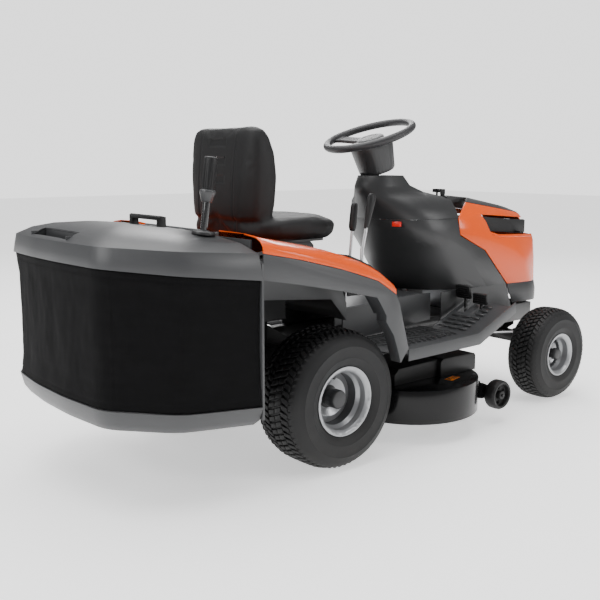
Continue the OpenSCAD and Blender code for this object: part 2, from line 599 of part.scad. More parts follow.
// ---------- hood ----------
// each row is a path from the rear seam round the nose to the other side: x at seam, half width, nose x, height
function hood_row(xr, w, xn, zr, zn, t) = whole([for (p = rounded([[xr, -w], [lerp(xr, xn, 0.55), -w * 0.985],
  [xn - 62, -w * 0.80], [xn - 6, -w * 0.42], [xn, 0]], 40, 3)) let (u = (p[0] - xr) / (xn - xr))
  [p[0] - t * (u > 0.9 ? 1 : u), min(0, p[1] + t), lerp(zr, zn, u)]]);
hood_rows = [ // seam x, half width, nose x, z at seam, z at nose
  [1122, 0.985, 1440, 480, 470], [966, 1, 1436, 630, 560], [812, 0.985, 1430, 700, 640], [811.2, 0.93, 1416, 764, 690],
  [905, 0.74, 1372, 822, 752]];
module hood_shell() color([0.93, 0.33, 0.08]) difference() {
  sheet([for (r = hood_rows) hood_row(r[0], r[1] * hood_half_w, r[2], r[3], r[4], 0)],
    [for (r = hood_rows) hood_row(r[0], r[1] * hood_half_w, r[2], r[3], r[4], panel_t)]);
  // side intake windows and the front lamp opening
  for (s = [-1, 1]) slab_y([[972, 772], [1004, 702], [1060, 688], [1440, 668], [1440, 728], [1345, 741]], s > 0 ? 100 : -300, s > 0 ? 300 : -100);
  box([1330, -150, 668], [1460, 150, 728]);
}
function hood_top_row(w, xr, xn, z0, z1, t) = whole([for (p = rounded([[xr, -w], [lerp(xr, xn, 0.6), -w * 0.97],
  [xn - 40, -w * 0.7], [xn, 0]], 40, 3)) let (u = (p[0] - xr) / (xn - xr)) [p[0] - t * u, p[1] < 0 ? min(-0.3, p[1] + t * 0.6) : 0, lerp(z0, z1, u) - t]]);
module hood_top_panel() color([0.42, 0.43, 0.44]) sheet(
  [hood_top_row(168.2, 905.3, 1371.4, 826.4, 756.4, 0), hood_top_row(110, 980, 1352, 838, 772, 0), hood_top_row(1, 990, 1330, hood_top_z, 786, 0)],
  [hood_top_row(168.2, 905.3, 1371.4, 826.4, 756.4, panel_t), hood_top_row(110, 980, 1352, 838, 772, panel_t), hood_top_row(1, 990, 1330, hood_top_z, 786, panel_t)]);
module grille_frame() color([0.12, 0.12, 0.13]) {
  // air guide behind each side window, joined across behind the lamps
  both() slab_y([[980, 764], [1010, 704], [1290, 676], [1290, 738], [1180, 744]], -174, -170);
  box([1284, -172, 676], [1290, 172, 728]);
  for (y = [-60, 60]) box([1289, y - 4, 680], [1353, y + 4, 720]);
  difference() {
    box([1352, -100, 672], [1400, 100, 726]);
    box([1358, -94, 678], [1410, 94, 720]);
  }
  headlamps();
  // stays that reach the hood's inner face
  both() for (x = [1010, 1230]) rod_y(x, -stay_end(x), -172, stay_z(x), 5);
}
function stay_z(x) = x < 1100 ? 704 : 690;
function stay_end(x) = x < 1100 ? 213.5 : 203;
module headlamps() color([0.9, 0.92, 0.95]) both() box([1358.3, -90, 682], [1398, -16, 716]);
module bumper_skirt() color([0.42, 0.43, 0.44]) {
  rows = [[1162, 0.99, 1444, 396, 388], [1134, 1, 1448, 440, 434], [1122, 0.985, 1440, 479.7, 469.7]];
  sheet([for (r = rows) hood_row(r[0], r[1] * hood_half_w, r[2], r[3], r[4], 0)],
    [for (r = rows) hood_row(r[0], r[1] * hood_half_w, r[2], r[3], r[4], panel_t)]);
  // hinge lugs reach in to the frame's pins
  both() difference() {
    union() {
      rod_y(hood_pivot[0], -139, -131, hood_pivot[1], 13);
      box([1372, -139, hood_pivot[1]], [1398, -131, 424]);
      box([1372, -139, 412], [1425, -131, 424]);
    }
    rod_y(hood_pivot[0], -150, -120, hood_pivot[1], hood_pin_r + run_gap);
  }
}
// ---------- seat ----------
seat_h = seat_w / 2;
seat_pivot = [190, 714];
seat_pin_r = 5;
runner_y = 100;
module seat_base() color([0.1, 0.1, 0.11]) both()
  // fixed runners that stand on the fender and the lever console
  slab_y([[-190, recess_z + 0.3], [51, recess_z + 0.3], [58, 688.8], [100, 672.4], [150, 650.4], [164, 641],
    [164, 692], [150, runner_top], [-190, runner_top]], -runner_y, -runner_y + 14);
runner_top = recess_z + 4;
module seat_slider() color([0.2, 0.2, 0.21]) difference() {
  // carriage over the runners, with the front hinge ears
  union() {
    both() slab_y([[-160, runner_top + 0.6], [200, runner_top + 0.6], [200, 720], [182, 720], [176, 711.6], [-160, 711.6]],
      -runner_y - 3, -runner_y + 17);
    for (x = [-140, 100]) box([x, -runner_y + 16, 706.8], [x + 30, runner_y - 16, 710.8]);
  }
  rod_y(seat_pivot[0], -130, 130, seat_pivot[1], seat_pin_r + run_gap);
}
function seat_ring(z, x0, x1, w, n = 0.5) = [for (i = [0:23]) let (a = i * 15, c = cos(a), s = sin(a))
  [(x0 + x1) / 2 + (x1 - x0) / 2 * sign(c) * pow(abs(c), n), w * sign(s) * pow(abs(s), n), z]];
back_rows = [[797.3, -178, -62, 0.82], [840, -180, -52, 0.85], [930, -178, -46, 0.87],
  [1010, -170, -52, 0.86], [1060, -164, -66, 0.82], [1086, -156, -84, 0.76], [1098, -146, -100, 0.62]];
cushion_rows = [[726, -150, 182, -22], [744, -172, 206, -4], [774, -172, 216, 0], [790, -168, 208, -12], [797, -160, 186, -36]];
module seat_pan() color([0.1, 0.1, 0.11]) {
  box([-150, -120, 713], [168, 120, 717]);
  for (x = [-130, 90]) box([x, -110, 716], [x + 50, 110, 725.7]);
  both() box([150, -runner_y - 11, 708], [198, -runner_y - 3.5, 720]);
  both() rod_y(seat_pivot[0], -runner_y - 10, -runner_y + 19, seat_pivot[1], seat_pin_r);
}
module seat_shell() color([0.08, 0.08, 0.085]) {
  k = (seat_top_z - 1098) / 300;
  loft([for (r = cushion_rows) seat_ring(r[0], r[1], r[2], seat_h + r[3])]);
  loft([for (r = back_rows) seat_ring(r[0] + k * (r[0] - 797.3), r[1], r[2], seat_h * r[3], 0.55)]);
}
// ---------- steering ----------
module steering_wheel() color([0.12, 0.12, 0.13]) column() {
  r = (wheel_d - wheel_rim_d) / 2;
  rotate_extrude($fn = 72) translate([r, 0]) circle(r = wheel_rim_d / 2, $fn = 24);
  // hub and three spokes
  difference() {
    union() {
      translate([0, 0, -23]) cylinder(r = 46, h = 20);
      for (a = [100, 180, 260]) rotate(a) translate([30, -24, -16]) cube([r - 34, 48, 11]);
    }
    translate([0, 0, -24]) cylinder(r = shaft_d / 2, h = 16);
  }
}
function pinion_outline(n, m, r, back) = [for (i = [0:n - 1]) let (p = 360 / n, a = i * p)
  each [[r - 1.2 * m, a - p * 0.33], [r - 1.2 * m, a - p * (0.25 - back)], [r + 0.8 * m, a - p * (0.12 - back / 2)],
    [r + 0.8 * m, a + p * (0.12 - back / 2)], [r - 1.2 * m, a + p * (0.25 - back)]]];
module steering_shaft() color([0.6, 0.6, 0.62]) {
  shaft_len = (wheel_c[2] - sector_z - 2) / cos(column_lean);
  column() translate([0, 0, -shaft_len]) cylinder(r = shaft_d / 2, h = shaft_len - 8);
  // pinion at its foot
  column() translate([0, 0, -shaft_len - 2]) rotate(180 / pinion_teeth) linear_extrude(16)
    polygon([for (q = pinion_outline(pinion_teeth, gear_module, pinion_r, 0.07)) q[0] * [cos(q[1]), sin(q[1])]]);
}
// toothed sector: an arc-shaped window with teeth on its outer side, and the drop arm below
window_half = 54;
module steering_sector() color([0.45, 0.45, 0.47]) translate([sector_x, 0, 0]) {
  translate([0, 0, sector_z]) linear_extrude(sector_t) difference() {
    sector_shape(0, sector_r + 18, window_half + 10);
    circle(r = pivot_pin_r + run_gap);
    polygon(concat([for (i = [-6:6]) (sector_r - 50) * [-cos(i * window_half / 6), sin(i * window_half / 6)]],
      [for (i = [9:-1:-9]) each ring_tooth(i)]));
  }
  translate([0, 0, pitman_z]) difference() {
    union() {
      cylinder(r = 17, h = sector_z - pitman_z + 1);
      hull() { cylinder(r = 17, h = 6); translate([-arm_r, 0, 0]) cylinder(r = 13, h = 6); }
    }
    translate([0, 0, -1]) cylinder(r = pivot_pin_r + run_gap, h = 40);
  }
  // ball stud for the two tie rods
  translate([-arm_r, 0, rod_z - 10]) cylinder(r = 4, h = pitman_z - rod_z + 12);
}
module sector_shape(r0, r1, half) polygon(concat([[14, -16]], [for (i = [-8:8]) r1 * [-cos(i * half / 8), sin(i * half / 8)]], [[14, 16]]));
function ring_tooth(i) = let (p = 360 / sector_teeth, a = i * p)
  [for (q = [[sector_r + 1.7 * gear_module, a + p * 0.27], [sector_r - 0.5 * gear_module, a + p * 0.1],
    [sector_r - 0.5 * gear_module, a - p * 0.1], [sector_r + 1.7 * gear_module, a - p * 0.27]]) q[0] * [-cos(q[1]), sin(q[1])]];
module front_axle() color([0.14, 0.14, 0.15]) difference() {
  union() {
    rotate([90, 0, 90]) translate([0, 0, wheelbase - 24]) linear_extrude(48)
      polygon([[-kingpin_y, 214], [-kingpin_y, 250], [-150, 256], [-60, 262], [60, 262], [150, 256], [kingpin_y, 250], [kingpin_y, 214], [60, 214], [-60, 214]]);
    both() translate([wheelbase, -kingpin_y, 210]) cylinder(r = 22, h = 44);
  }
  rod_x(wheelbase - 60, wheelbase + 60, 0, axle_pin_z, 10 + run_gap);
  both() translate([wheelbase, -kingpin_y, 200]) cylinder(r = kingpin_r + run_gap, h = 60);
}
module spindle() color([0.2, 0.2, 0.21]) {
  // kingpin, stub axle and steering arm
  translate([wheelbase, -kingpin_y, front_r - 12]) cylinder(r = kingpin_r, h = kingpin_top - front_r + 12);
  translate([wheelbase, -kingpin_y, front_r - 14]) cylinder(r = 18, h = 33);
  translate([wheelbase, -kingpin_y + 16, front_r]) rotate([90, 0, 0]) cylinder(r = stub_d / 2, h = front_y - kingpin_y + 16 + front_disc_a + 30);
  difference() {
    union() {
      hull() {
        translate([wheelbase, -kingpin_y, kingpin_top - 12]) cylinder(r = 11.5, h = 6);
        translate([wheelbase - arm_r, -kingpin_y, kingpin_top - 12]) cylinder(r = 11, h = 6);
      }
      translate([wheelbase, -kingpin_y, 254.5]) cylinder(r = 11.5, h = kingpin_top - 254.5);
    }
    translate([wheelbase - arm_r, -kingpin_y, kingpin_top - 20]) cylinder(r = 4 + run_gap, h = 30);
  }
}
// tie rod: eye at the sector, bar, and a stud in the spindle's arm
module tie_rod(eye_z) color([0.35, 0.35, 0.37]) {
  a = [sector_x - arm_r, 0, eye_z];
  b = [wheelbase - arm_r, -kingpin_y, rod_z - 5];
  run = [b[0] - a[0], b[1], 0];
  aim = atan2(run[1], run[0]);
  difference() {
    union() {
      translate(a) cylinder(r = 13, h = eye_t);
      translate(b) cylinder(r = 11, h = 10);
      // bar, with a flat tongue into the eye
      translate([a[0], a[1], rod_z]) rotate([0, 90, aim]) translate([0, 0, 16]) cylinder(r = rod_r - 2, h = norm(run) - 22);
      translate(a) rotate(aim) translate([9, -5, 0]) cube([14, 10, eye_t]);
    }
    translate(a - [0, 0, 1]) cylinder(r = 8.5, h = eye_t + 2);
  }
  translate(b) cylinder(r = 4, h = kingpin_top - 7 - b[2]);
}
// ---------- deck ----------
module deck_plan(r) hull() both() translate([deck_x, -blade_y]) circle(r = r);
module deck_shell() color([0.05, 0.05, 0.055]) {
  difference() {
    union() {
      translate([0, 0, deck_z]) linear_extrude(deck_h) deck_plan(deck_r);
      both() translate([deck_x, -blade_y, deck_top - 24]) cylinder(r = 44, h = 46);
    }
    difference() {
      translate([0, 0, deck_z - 1]) linear_extrude(deck_h - deck_t + 1) deck_plan(deck_r - deck_t);
      both() translate([deck_x, -blade_y, deck_top - 24]) cylinder(r = 44, h = 30);
    }
    both() translate([deck_x, -blade_y, deck_z]) cylinder(r = blade_shaft_r + run_gap, h = deck_h + 60);
    // discharge opening at the rear
    box([deck_x - deck_r - 20, -tunnel_w + 2, deck_z + 8], [deck_x - deck_r + 20, tunnel_w - 2, deck_top - 8]);
  }
  // gauge wheel arms and hanger lugs
  both() {
    difference() {
      union() {
        box([690, -416, 104], [720, -352, 168]);
        slab_y([[700, 104], [700, 168], [740, 156], [gauge_x + 16, 126], [gauge_x + 16, 96], [740, 96]], -416, -410);
      }
      rod_y(gauge_x, -420, -400, gauge_z, 4.9);
      translate([0, 0, deck_z - 1]) linear_extrude(deck_h) deck_plan(deck_r - deck_t + 1);
    }
    rod_y(gauge_x, -472, -408, gauge_z, 5);
    for (x = [330, 660]) box([x, -112, deck_top - 1], [x + 30, -108, deck_top + 34]);
  }
}
module cover_half() {
  t = 3;
  z0 = deck_top + 0.5;
  z1 = 266;
  difference() {
    union() {
      slab_y([[330, z0], [330, z1 - 28], [352, z1 - 8], [560, z1 - 4], [560, z0]], -346, -150);
      slab_y([[552, z0], [552, z1 - 10], [566, z1], [742, z1 - 2], [750, z1 - 12], [750, z0]], -366, -190);
    }
    slab_y([[333, z0 - 1], [333, z1 - 30], [354, z1 - 11], [566, z1 - 7], [566, z0 - 1]], -343, -140);
    slab_y([[555, z0 - 1], [555, z1 - 12], [567, z1 - 3], [760, z1 - 5], [760, z0 - 1]], -363, -180);
  }
}
module belt_cover() color([0.11, 0.11, 0.12]) both() cover_half();
module blade(phase) {
  color([0.55, 0.56, 0.58]) translate([deck_x, -blade_y, 0]) {
    // shaft, belt pulley, blade bar and its bolt
    difference() {
      translate([0, 0, 94]) cylinder(r = blade_shaft_r, h = deck_belt_z - 94 + belt_w + 6);
      translate([0, 0, 80]) cylinder(r = 5, h = 30);
    }
    difference() {
      translate([0, 0, deck_belt_z]) cylinder(r = deck_pulley_r - 0.4, h = belt_w + 1);
      translate([0, 0, deck_belt_z - 1]) cylinder(r = blade_shaft_r, h = belt_w + 4);
    }
    rotate(phase) difference() {
      union() {
        box([-blade_r, -28, 95], [blade_r, 28, 99]);
        slab_y([[blade_r - 90, 99], [blade_r, 99], [blade_r, 116], [blade_r - 60, 112]], 20, 24);
        rotate(180) slab_y([[blade_r - 90, 99], [blade_r, 99], [blade_r, 116], [blade_r - 60, 112]], 20, 24);
      }
      translate([0, 0, 90]) cylinder(r = blade_shaft_r, h = 12);
    }
    translate([0, 0, 86]) cylinder(r = 4.9, h = 23);
    translate([0, 0, 86]) cylinder(r = 14, h = 7.5, $fn = 6);
  }
}
module gauge_wheel() color([0.06, 0.06, 0.065]) translate([gauge_x, -gauge_y, gauge_z]) rotate([90, 0, 0]) difference() {
  rotate_extrude() polygon([[5 + run_gap, -gauge_w / 2 + 2], [16, -gauge_w / 2 + 2], [16, -4], [gauge_d / 2 - 14, -4],
    [gauge_d / 2 - 14, -gauge_w / 2 + 2], [gauge_d / 2 - 6, -gauge_w / 2], [gauge_d / 2 - 1, -gauge_w / 2 + 8], [gauge_d / 2, 0],
    [gauge_d / 2 - 1, gauge_w / 2 - 8], [gauge_d / 2 - 6, gauge_w / 2], [gauge_d / 2 - 14, gauge_w / 2 - 2], [gauge_d / 2 - 14, 4],
    [16, 4], [16, gauge_w / 2 - 2], [5 + run_gap, gauge_w / 2 - 2]]);
  for (a = [0:60:359]) rotate(a + 30) translate([29, 0, -10]) cylinder(r = 8, h = 20);
}
// ---------- collector ----------
bag_c = [bag_x - 140, 0];
// right-hand half outline of the collector in plan, shrunk towards its middle by the share k
function bag_half(k) = [for (p = rounded([[bag_x, -bag_w / 2], [bag_x - bag_depth * 0.573, -bag_w * 0.468],
  [bag_x - bag_depth * 0.950, -bag_w * 0.316], [bag_x - bag_depth, -bag_w * 0.10], [bag_x - bag_depth, 0]], 46, 3))
  lerp(p, bag_c, k)];
// share of the way back from the mouth, 0 to 1
function rearness(x) = max(0, (bag_x - x) / bag_depth);
function bag_row(k, z0, z1) = whole([for (p = bag_half(k)) [p[0], p[1], lerp(z0, z1, rearness(p[0]))]]);
function closed_row(k, z0, z1, front) = [for (q = bag_row(k, z0, z1)) [min(q[0], front), q[1], q[2]]];
lid_rows = [[0, 651, 704], [0.012, 690, 730], [0.03, 727, 762], [0.16, 752, 786], [0.34, 766, 804], [0.6, 776, 818]];
module bag_lid() {
  color([0.42, 0.43, 0.44]) difference() {
    loft(concat([for (r = flip(lid_rows)) closed_row(r[0], r[1], r[2], bag_x)],
      [for (r = lid_rows) closed_row(r[0] + 0.012, r[1], r[2] - (r[0] > 0.02 ? lid_t : 0), bag_x - lid_t)]));
    // rear grip opening, and the hole for the dump handle
    box([bag_x - bag_depth + 24, -120, 700], [bag_x - bag_depth + 66, 120, 860]);
    translate([handle_x, handle_y, 600]) rotate([0, 8, 0]) cylinder(r = dump_tube_d / 2 + 3, h = 300);
  }
  // seal ring round the dump handle
  color([0.1, 0.1, 0.1]) translate([handle_x, handle_y, 600]) rotate([0, 8, 0]) translate([0, 0, 178.5]) difference() {
    cylinder(r = 26, h = 8);
    translate([0, 0, -1]) cylinder(r = dump_tube_d / 2 + 1, h = 12);
  }
  // black carrying handle across the top
  color([0.08, 0.08, 0.08]) translate([0, 0, lid_handle_z]) {
    for (y = [-96, 76]) slab_y([[-452, 1], [-430, -1], [-430, 30], [-446, 34], [-452, 30]], y, y + 20);
    slab_y([[-452, 20], [-430, 20], [-430, 30], [-446, 34], [-452, 30]], -77, 77);
  }
}
bag_t = 2;
bag_low0 = 282;
bag_low1 = 312;
module bag_fabric() color([0.04, 0.04, 0.045]) {
  ks = [[0.016, 0], [0.028, 0.2], [0.034, 0.5], [0.03, 0.8], [0.02, 1]];
  sheet([for (s = ks) bag_row(s[0], lerp(bag_low0, 650, s[1]), lerp(bag_low1, 703, s[1]))],
    [for (s = ks) bag_row(s[0] + 0.006, lerp(bag_low0, 650, s[1]), lerp(bag_low1, 703, s[1]))]);
}
module bag_tray() color([0.42, 0.43, 0.44]) {
  rows = [[0.002, 281, 311], [0.03, 240, 270], [0.075, 222, 250]];
  loft(concat([for (r = flip(rows)) closed_row(r[0], r[1], r[2], bag_x)],
    [for (r = rows) closed_row(r[0] + 0.02, r[1] + (r[0] > 0.01 ? 4 : 0), r[2] + (r[0] > 0.01 ? 4 : 0), bag_x - 4)]));
}
module bag_frame() color([0.35, 0.35, 0.37]) {
  // seal frame round the mouth
  difference() {
    box([bag_x + 0.5, -bag_w / 2 + 6, 240], [bag_x + 8, bag_w / 2 - 6, 762]);
    box([bag_x - 1, -bag_w / 2 + 34, 300], [bag_x + 12, bag_w / 2 - 34, 640]);
    both() slab_y([[bag_x - 5, 700], [bag_x - 5, 780], [bag_x + 20, 780], [bag_x + 20, 700]], -bag_w / 2 - 5, -bag_w / 2 + 60);
    both() box([bag_x - 1, -208, 690], [bag_x + 12, -184, 800]);
  }
  // pivot tube and its ears
  rod_y(bag_pivot[0] + 2, -180, 180, bag_pivot[1] - 8, 7);
  both() box([bag_x + 0.5, -180, 750], [bag_x + 8, -150, 772]);
  // guide tube for the dump handle
  translate([handle_x, handle_y, 600]) rotate([0, 8, 0]) translate([0, 0, -170]) difference() {
    cylinder(r = dump_tube_d / 2 + 3, h = 220);
    translate([0, 0, -1]) cylinder(r = dump_tube_d / 2 + 0.08, h = 230);
  }
  slab_y([[bag_x + 4, 470], [bag_x + 4, 490], [-470, 478], [-470, 458]], handle_y - 18, handle_y - 11.5);
}
module dump_handle() translate([handle_x, handle_y, 600]) rotate([0, 8, 0]) {
  color([0.5, 0.5, 0.52]) difference() {
    translate([0, 0, -160]) cylinder(r = dump_tube_d / 2, h = 480);
    translate([0, 0, -161]) cylinder(r = dump_tube_d / 2 - 2, h = 470);
  }
  color([0.08, 0.08, 0.08]) difference() {
    translate([0, 0, 306]) rotate_extrude() polygon([[0, 0], [19, 0], [25, 24], [23, 30], [18, 32], [20, 84], [18, 96], [0, 100]]);
    translate([0, 0, 300]) cylinder(r = dump_tube_d / 2, h = 20);
  }
}
// ---------- levers and pedals ----------
module lever_hub(y) rod_y(lever_x, y - 7, y + 7, lever_z, 14);
module height_lever() {
  difference() {
    union() {
      color([0.5, 0.5, 0.52]) lever_hub(height_y);
      color([0.5, 0.5, 0.52]) translate([lever_x, height_y, lever_z]) rotate([0, 6, 0]) cylinder(r = 5, h = 196);
    }
    rod_y(lever_x, height_y - 20, height_y + 20, lever_z, lever_pin_r + run_gap);
  }
  color([0.06, 0.06, 0.06]) translate([lever_x, height_y, lever_z]) rotate([0, 6, 0]) translate([0, 0, 196])
    rotate_extrude() polygon([[0, 0], [9, 0], [13, 14], [12, 84], [0, 84]]);
  color([0.5, 0.5, 0.5]) translate([lever_x, height_y, lever_z]) rotate([0, 6, 0]) translate([0, 0, 280.5]) sphere(r = 9);
}
module blade_lever() {
  color([0.6, 0.6, 0.62]) difference() {
    union() {
      lever_hub(blade_lever_y);
      translate([lever_x, blade_lever_y, lever_z]) rotate([0, 2, 0]) cylinder(r = 6, h = 140);
      translate([lever_x + 4.9, blade_lever_y, lever_z + 138]) rotate([0, 14, 0]) cylinder(r = 6, h = 72);
    }
    rod_y(lever_x, blade_lever_y - 20, blade_lever_y + 20, lever_z, lever_pin_r + run_gap);
  }
  color([0.06, 0.06, 0.06]) translate([lever_x + 4.9, blade_lever_y, lever_z + 138]) rotate([0, 14, 0]) translate([0, 0, 72.3])
    loft([for (r = [[0, 8, 7], [30, 11, 9], [70, 15, 11], [96, 17, 12], [106, 12, 9]])
      [for (i = [0:15]) [r[1] * cos(i * 22.5), r[2] * sin(i * 22.5), r[0]]]]);
}
// pedal: pivot tube, upright arm and tread pad; u and v give the pad's place
pedal_z = 350;
pedal_x = 808;
pedal_shaft_r = 6;
module pedal(px, py, top_z, lean, pad_l, pad_w) {
  color([0.06, 0.06, 0.065]) difference() {
    union() {
      rod_y(px, py - 16, py + 16, pedal_z, 11);
      translate([px, py - 4, pedal_z]) rotate([0, -lean, 0]) cube([10, 8, top_z - pedal_z]);
      translate([px, py, pedal_z]) rotate([0, -lean, 0]) translate([-8, 0, top_z - pedal_z - pad_l / 2])
        rotate([0, -12, 0]) translate([-4, -pad_w / 2, -pad_l / 2]) cube([12, pad_w, pad_l]);
    }
    rod_y(px, py - 30, py + 30, pedal_z, pedal_shaft_r + run_gap);
  }
}
forward_pedal_p = [pedal_x, -262];
reverse_pedal_p = [pedal_x, -330];
brake_pedal_p = [pedal_x, 280];
module forward_pedal() pedal(forward_pedal_p[0], forward_pedal_p[1], 508, 2, 52, 62);
module reverse_pedal() pedal(reverse_pedal_p[0], reverse_pedal_p[1], 480, -6, 40, 60);
module brake_pedal() pedal(brake_pedal_p[0], brake_pedal_p[1], 508, 2, 62, 86);
// ---------- small controls ----------
key_p = [868, -78, 845];
key_r = 9;
throttle_p = [900, -20, 845];
throttle_z = 812;
throttle_pin_r = 4;
module throttle_lever() color([0.05, 0.05, 0.05]) difference() {
  union() {
    rod_y(throttle_p[0], throttle_p[1] - 6, throttle_p[1] + 6, throttle_z, 12);
    box([throttle_p[0] - 3, throttle_p[1] - 3, throttle_z], [throttle_p[0] + 3, throttle_p[1] + 3, 862]);
    box([throttle_p[0] - 10, throttle_p[1] - 16, 858], [throttle_p[0] + 12, throttle_p[1] + 16, 872]);
  }
  rod_y(throttle_p[0], throttle_p[1] - 10, throttle_p[1] + 10, throttle_z, throttle_pin_r + run_gap);
}
module ignition_key() {
  color([0.7, 0.7, 0.72]) translate([key_p[0], key_p[1], 818]) cylinder(r = key_r, h = 34);
  color([0.05, 0.05, 0.05]) translate([key_p[0] - 12, key_p[1] - 3, 851]) cube([24, 6, 22]);
}
brake_tab = [566, -118, 748];
brake_turn = 28;
module tab_block(gap) translate(brake_tab) rotate(brake_turn)
  box([-10 - gap, -18 - gap, -9.5 - gap], [30 + gap, 18 + gap, 9.5 + gap]);
module parking_brake() color([0.75, 0.08, 0.03]) tab_block(0);

place() frame();
place() rear_plate();
place() transaxle();
place() engine_block();
place() engine_shroud();
place() fuel_tank();
place() battery();
place() drive_belt();
place() discharge_tunnel();
place() dash_tower();
place() dash_side_panels();
place() column_cover();
place() footrest();
place() fender_base();
place() fender_cover();
place() lever_console();
place() hood_shell();
place() hood_top_panel();
place() grille_frame();
place() bumper_skirt();
place() seat_base();
place() seat_slider();
place() seat_pan();
place() seat_shell();
place() steering_wheel();
place() steering_shaft();
place() steering_sector();
place() front_axle();
place() spindle();  // spindle_right
place() left_side() spindle();  // spindle_left
place() tie_rod(rod_z - eye_t - 0.3);  // tie_rod_right
place() left_side() tie_rod(rod_z + 0.3);  // tie_rod_left
place() front_rim();  // front_rim_right
place() front_tyre();  // front_tyre_right
place() left_side() front_rim();  // front_rim_left
place() left_side() front_tyre();  // front_tyre_left
place() rear_rim();  // rear_rim_right
place() rear_tyre();  // rear_tyre_right
place() left_side() rear_rim();  // rear_rim_left
place() left_side() rear_tyre();  // rear_tyre_left
place() deck_shell();
place() belt_cover();
place() deck_belt();
place() blade(35);  // blade_right
place() left_side() blade(125);  // blade_left
place() gauge_wheel();  // gauge_wheel_right
place() left_side() gauge_wheel();  // gauge_wheel_left
place() bag_lid();
place() bag_fabric();
place() bag_tray();
place() bag_frame();
place() dump_handle();
place() height_lever();
place() blade_lever();
place() forward_pedal();
place() reverse_pedal();
place() brake_pedal();
place() throttle_lever();
place() ignition_key();
place() parking_brake();
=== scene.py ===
"""Looks of a riding lawn mower with a rear grass collector.

Metres, with +X towards the hood, +Y to the driver's left and +Z up.
Sizes in the piece functions are in millimetres from the point on the floor under the rear axle.
"""
import json
import math

import bpy
from mathutils import Matrix, Vector, noise

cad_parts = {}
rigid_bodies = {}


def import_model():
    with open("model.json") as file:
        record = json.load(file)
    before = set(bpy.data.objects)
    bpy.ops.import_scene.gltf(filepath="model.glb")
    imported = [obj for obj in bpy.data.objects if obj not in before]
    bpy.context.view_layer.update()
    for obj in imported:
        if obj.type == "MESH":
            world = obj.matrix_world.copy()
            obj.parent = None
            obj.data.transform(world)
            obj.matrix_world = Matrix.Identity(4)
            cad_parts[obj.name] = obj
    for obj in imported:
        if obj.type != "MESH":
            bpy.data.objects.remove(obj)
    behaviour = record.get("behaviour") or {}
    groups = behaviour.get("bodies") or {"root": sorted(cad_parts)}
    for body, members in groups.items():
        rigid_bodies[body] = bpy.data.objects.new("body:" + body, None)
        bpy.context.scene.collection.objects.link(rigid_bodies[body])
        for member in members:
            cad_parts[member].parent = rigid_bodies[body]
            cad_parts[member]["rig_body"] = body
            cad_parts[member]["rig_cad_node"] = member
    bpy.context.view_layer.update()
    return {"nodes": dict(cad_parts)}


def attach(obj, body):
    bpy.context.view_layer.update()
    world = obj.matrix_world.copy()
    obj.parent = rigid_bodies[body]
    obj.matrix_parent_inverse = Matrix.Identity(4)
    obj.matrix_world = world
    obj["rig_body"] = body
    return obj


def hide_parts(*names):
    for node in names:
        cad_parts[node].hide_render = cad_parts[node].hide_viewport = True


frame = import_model()
AXLE = 0.329          # the rear axle lies this far behind the middle

# places and sizes in mm, measured from under the rear axle
DECK_TOP = 200                 # the deck shell's top face
WHEELBASE = 1245
REAR_TRACK = 356               # half of the rear track
FRONT_TRACK = 345              # half of the front track
REAR_TYRE = (228.5, 216, 101.5)    # outside radius, width, bead radius
FRONT_TYRE = (190.5, 152, 76)
DUMP_FOOT = (-452, -300, 600, 8)   # foot and lean of the collector's dump handle
LEVER_PIN = (150, 560)         # along and up: the pin of the two levers beside the seat
FLOOR_FRONT, FLOOR_REAR = 639, 236  # where the footboard's floor ends and starts
FLOOR_Z = 350
FLOOR_RISE = 8 / 404           # how much the floor climbs forwards
RAMP_RISE = 88 / 207           # and the ramp beside the dash
PEDAL_PIVOT = (808, 350)       # along and up


# ---------------------------------------------------------------- small tools
def mm(x, y, z):
    """A point given in millimetres from under the rear axle."""
    return Vector((x / 1000 - AXLE, y / 1000, z / 1000))


def deselect():
    """Leaves edit mode with nothing picked."""
    if bpy.context.object and bpy.context.object.mode != "OBJECT":
        bpy.ops.object.mode_set(mode="OBJECT")
    bpy.ops.object.select_all(action="DESELECT")


def pick(*objs):
    """Selects these objects alone and makes the first one active."""
    deselect()
    for o in objs:
        o.select_set(True)
    bpy.context.view_layer.objects.active = objs[0]
    return objs[0]


def modify(o, kind, **values):
    """Adds a modifier, sets it and applies it."""
    pick(o)
    bpy.ops.object.modifier_add(type=kind)
    m = o.modifiers[-1]
    for key, value in values.items():
        setattr(m, key, value)
    bpy.ops.object.modifier_apply(modifier=m.name)
    return o


def soften(o, edge=0.0015, angle=35, segments=2):
    """Rounds the sharp edges and smooths the rest."""
    modify(o, "BEVEL", width=edge, segments=segments, limit_method="ANGLE", angle_limit=math.radians(angle),
           use_clamp_overlap=True)
    pick(o)
    bpy.ops.object.shade_smooth_by_angle(angle=math.radians(angle))
    return o


def settle(o):
    """Puts the object's origin at the middle of the world, unturned and unscaled."""
    pick(o)
    bpy.ops.object.transform_apply(location=True, rotation=True, scale=True)
    return o


def join(name, parts):
    """Makes one piece of several."""
    pick(*parts)
    if len(parts) > 1:
        bpy.ops.object.join()
    o = bpy.context.view_layer.objects.active
    o.name = name
    return settle(o)


def dress(o, name, material, body):
    """Names a piece, paints it and puts it on its body."""
    o.name = name
    o.data.name = name
    o.data.materials.clear()
    for m in (material if isinstance(material, (list, tuple)) else [material]):
        o.data.materials.append(m)
    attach(o, body)
    return o


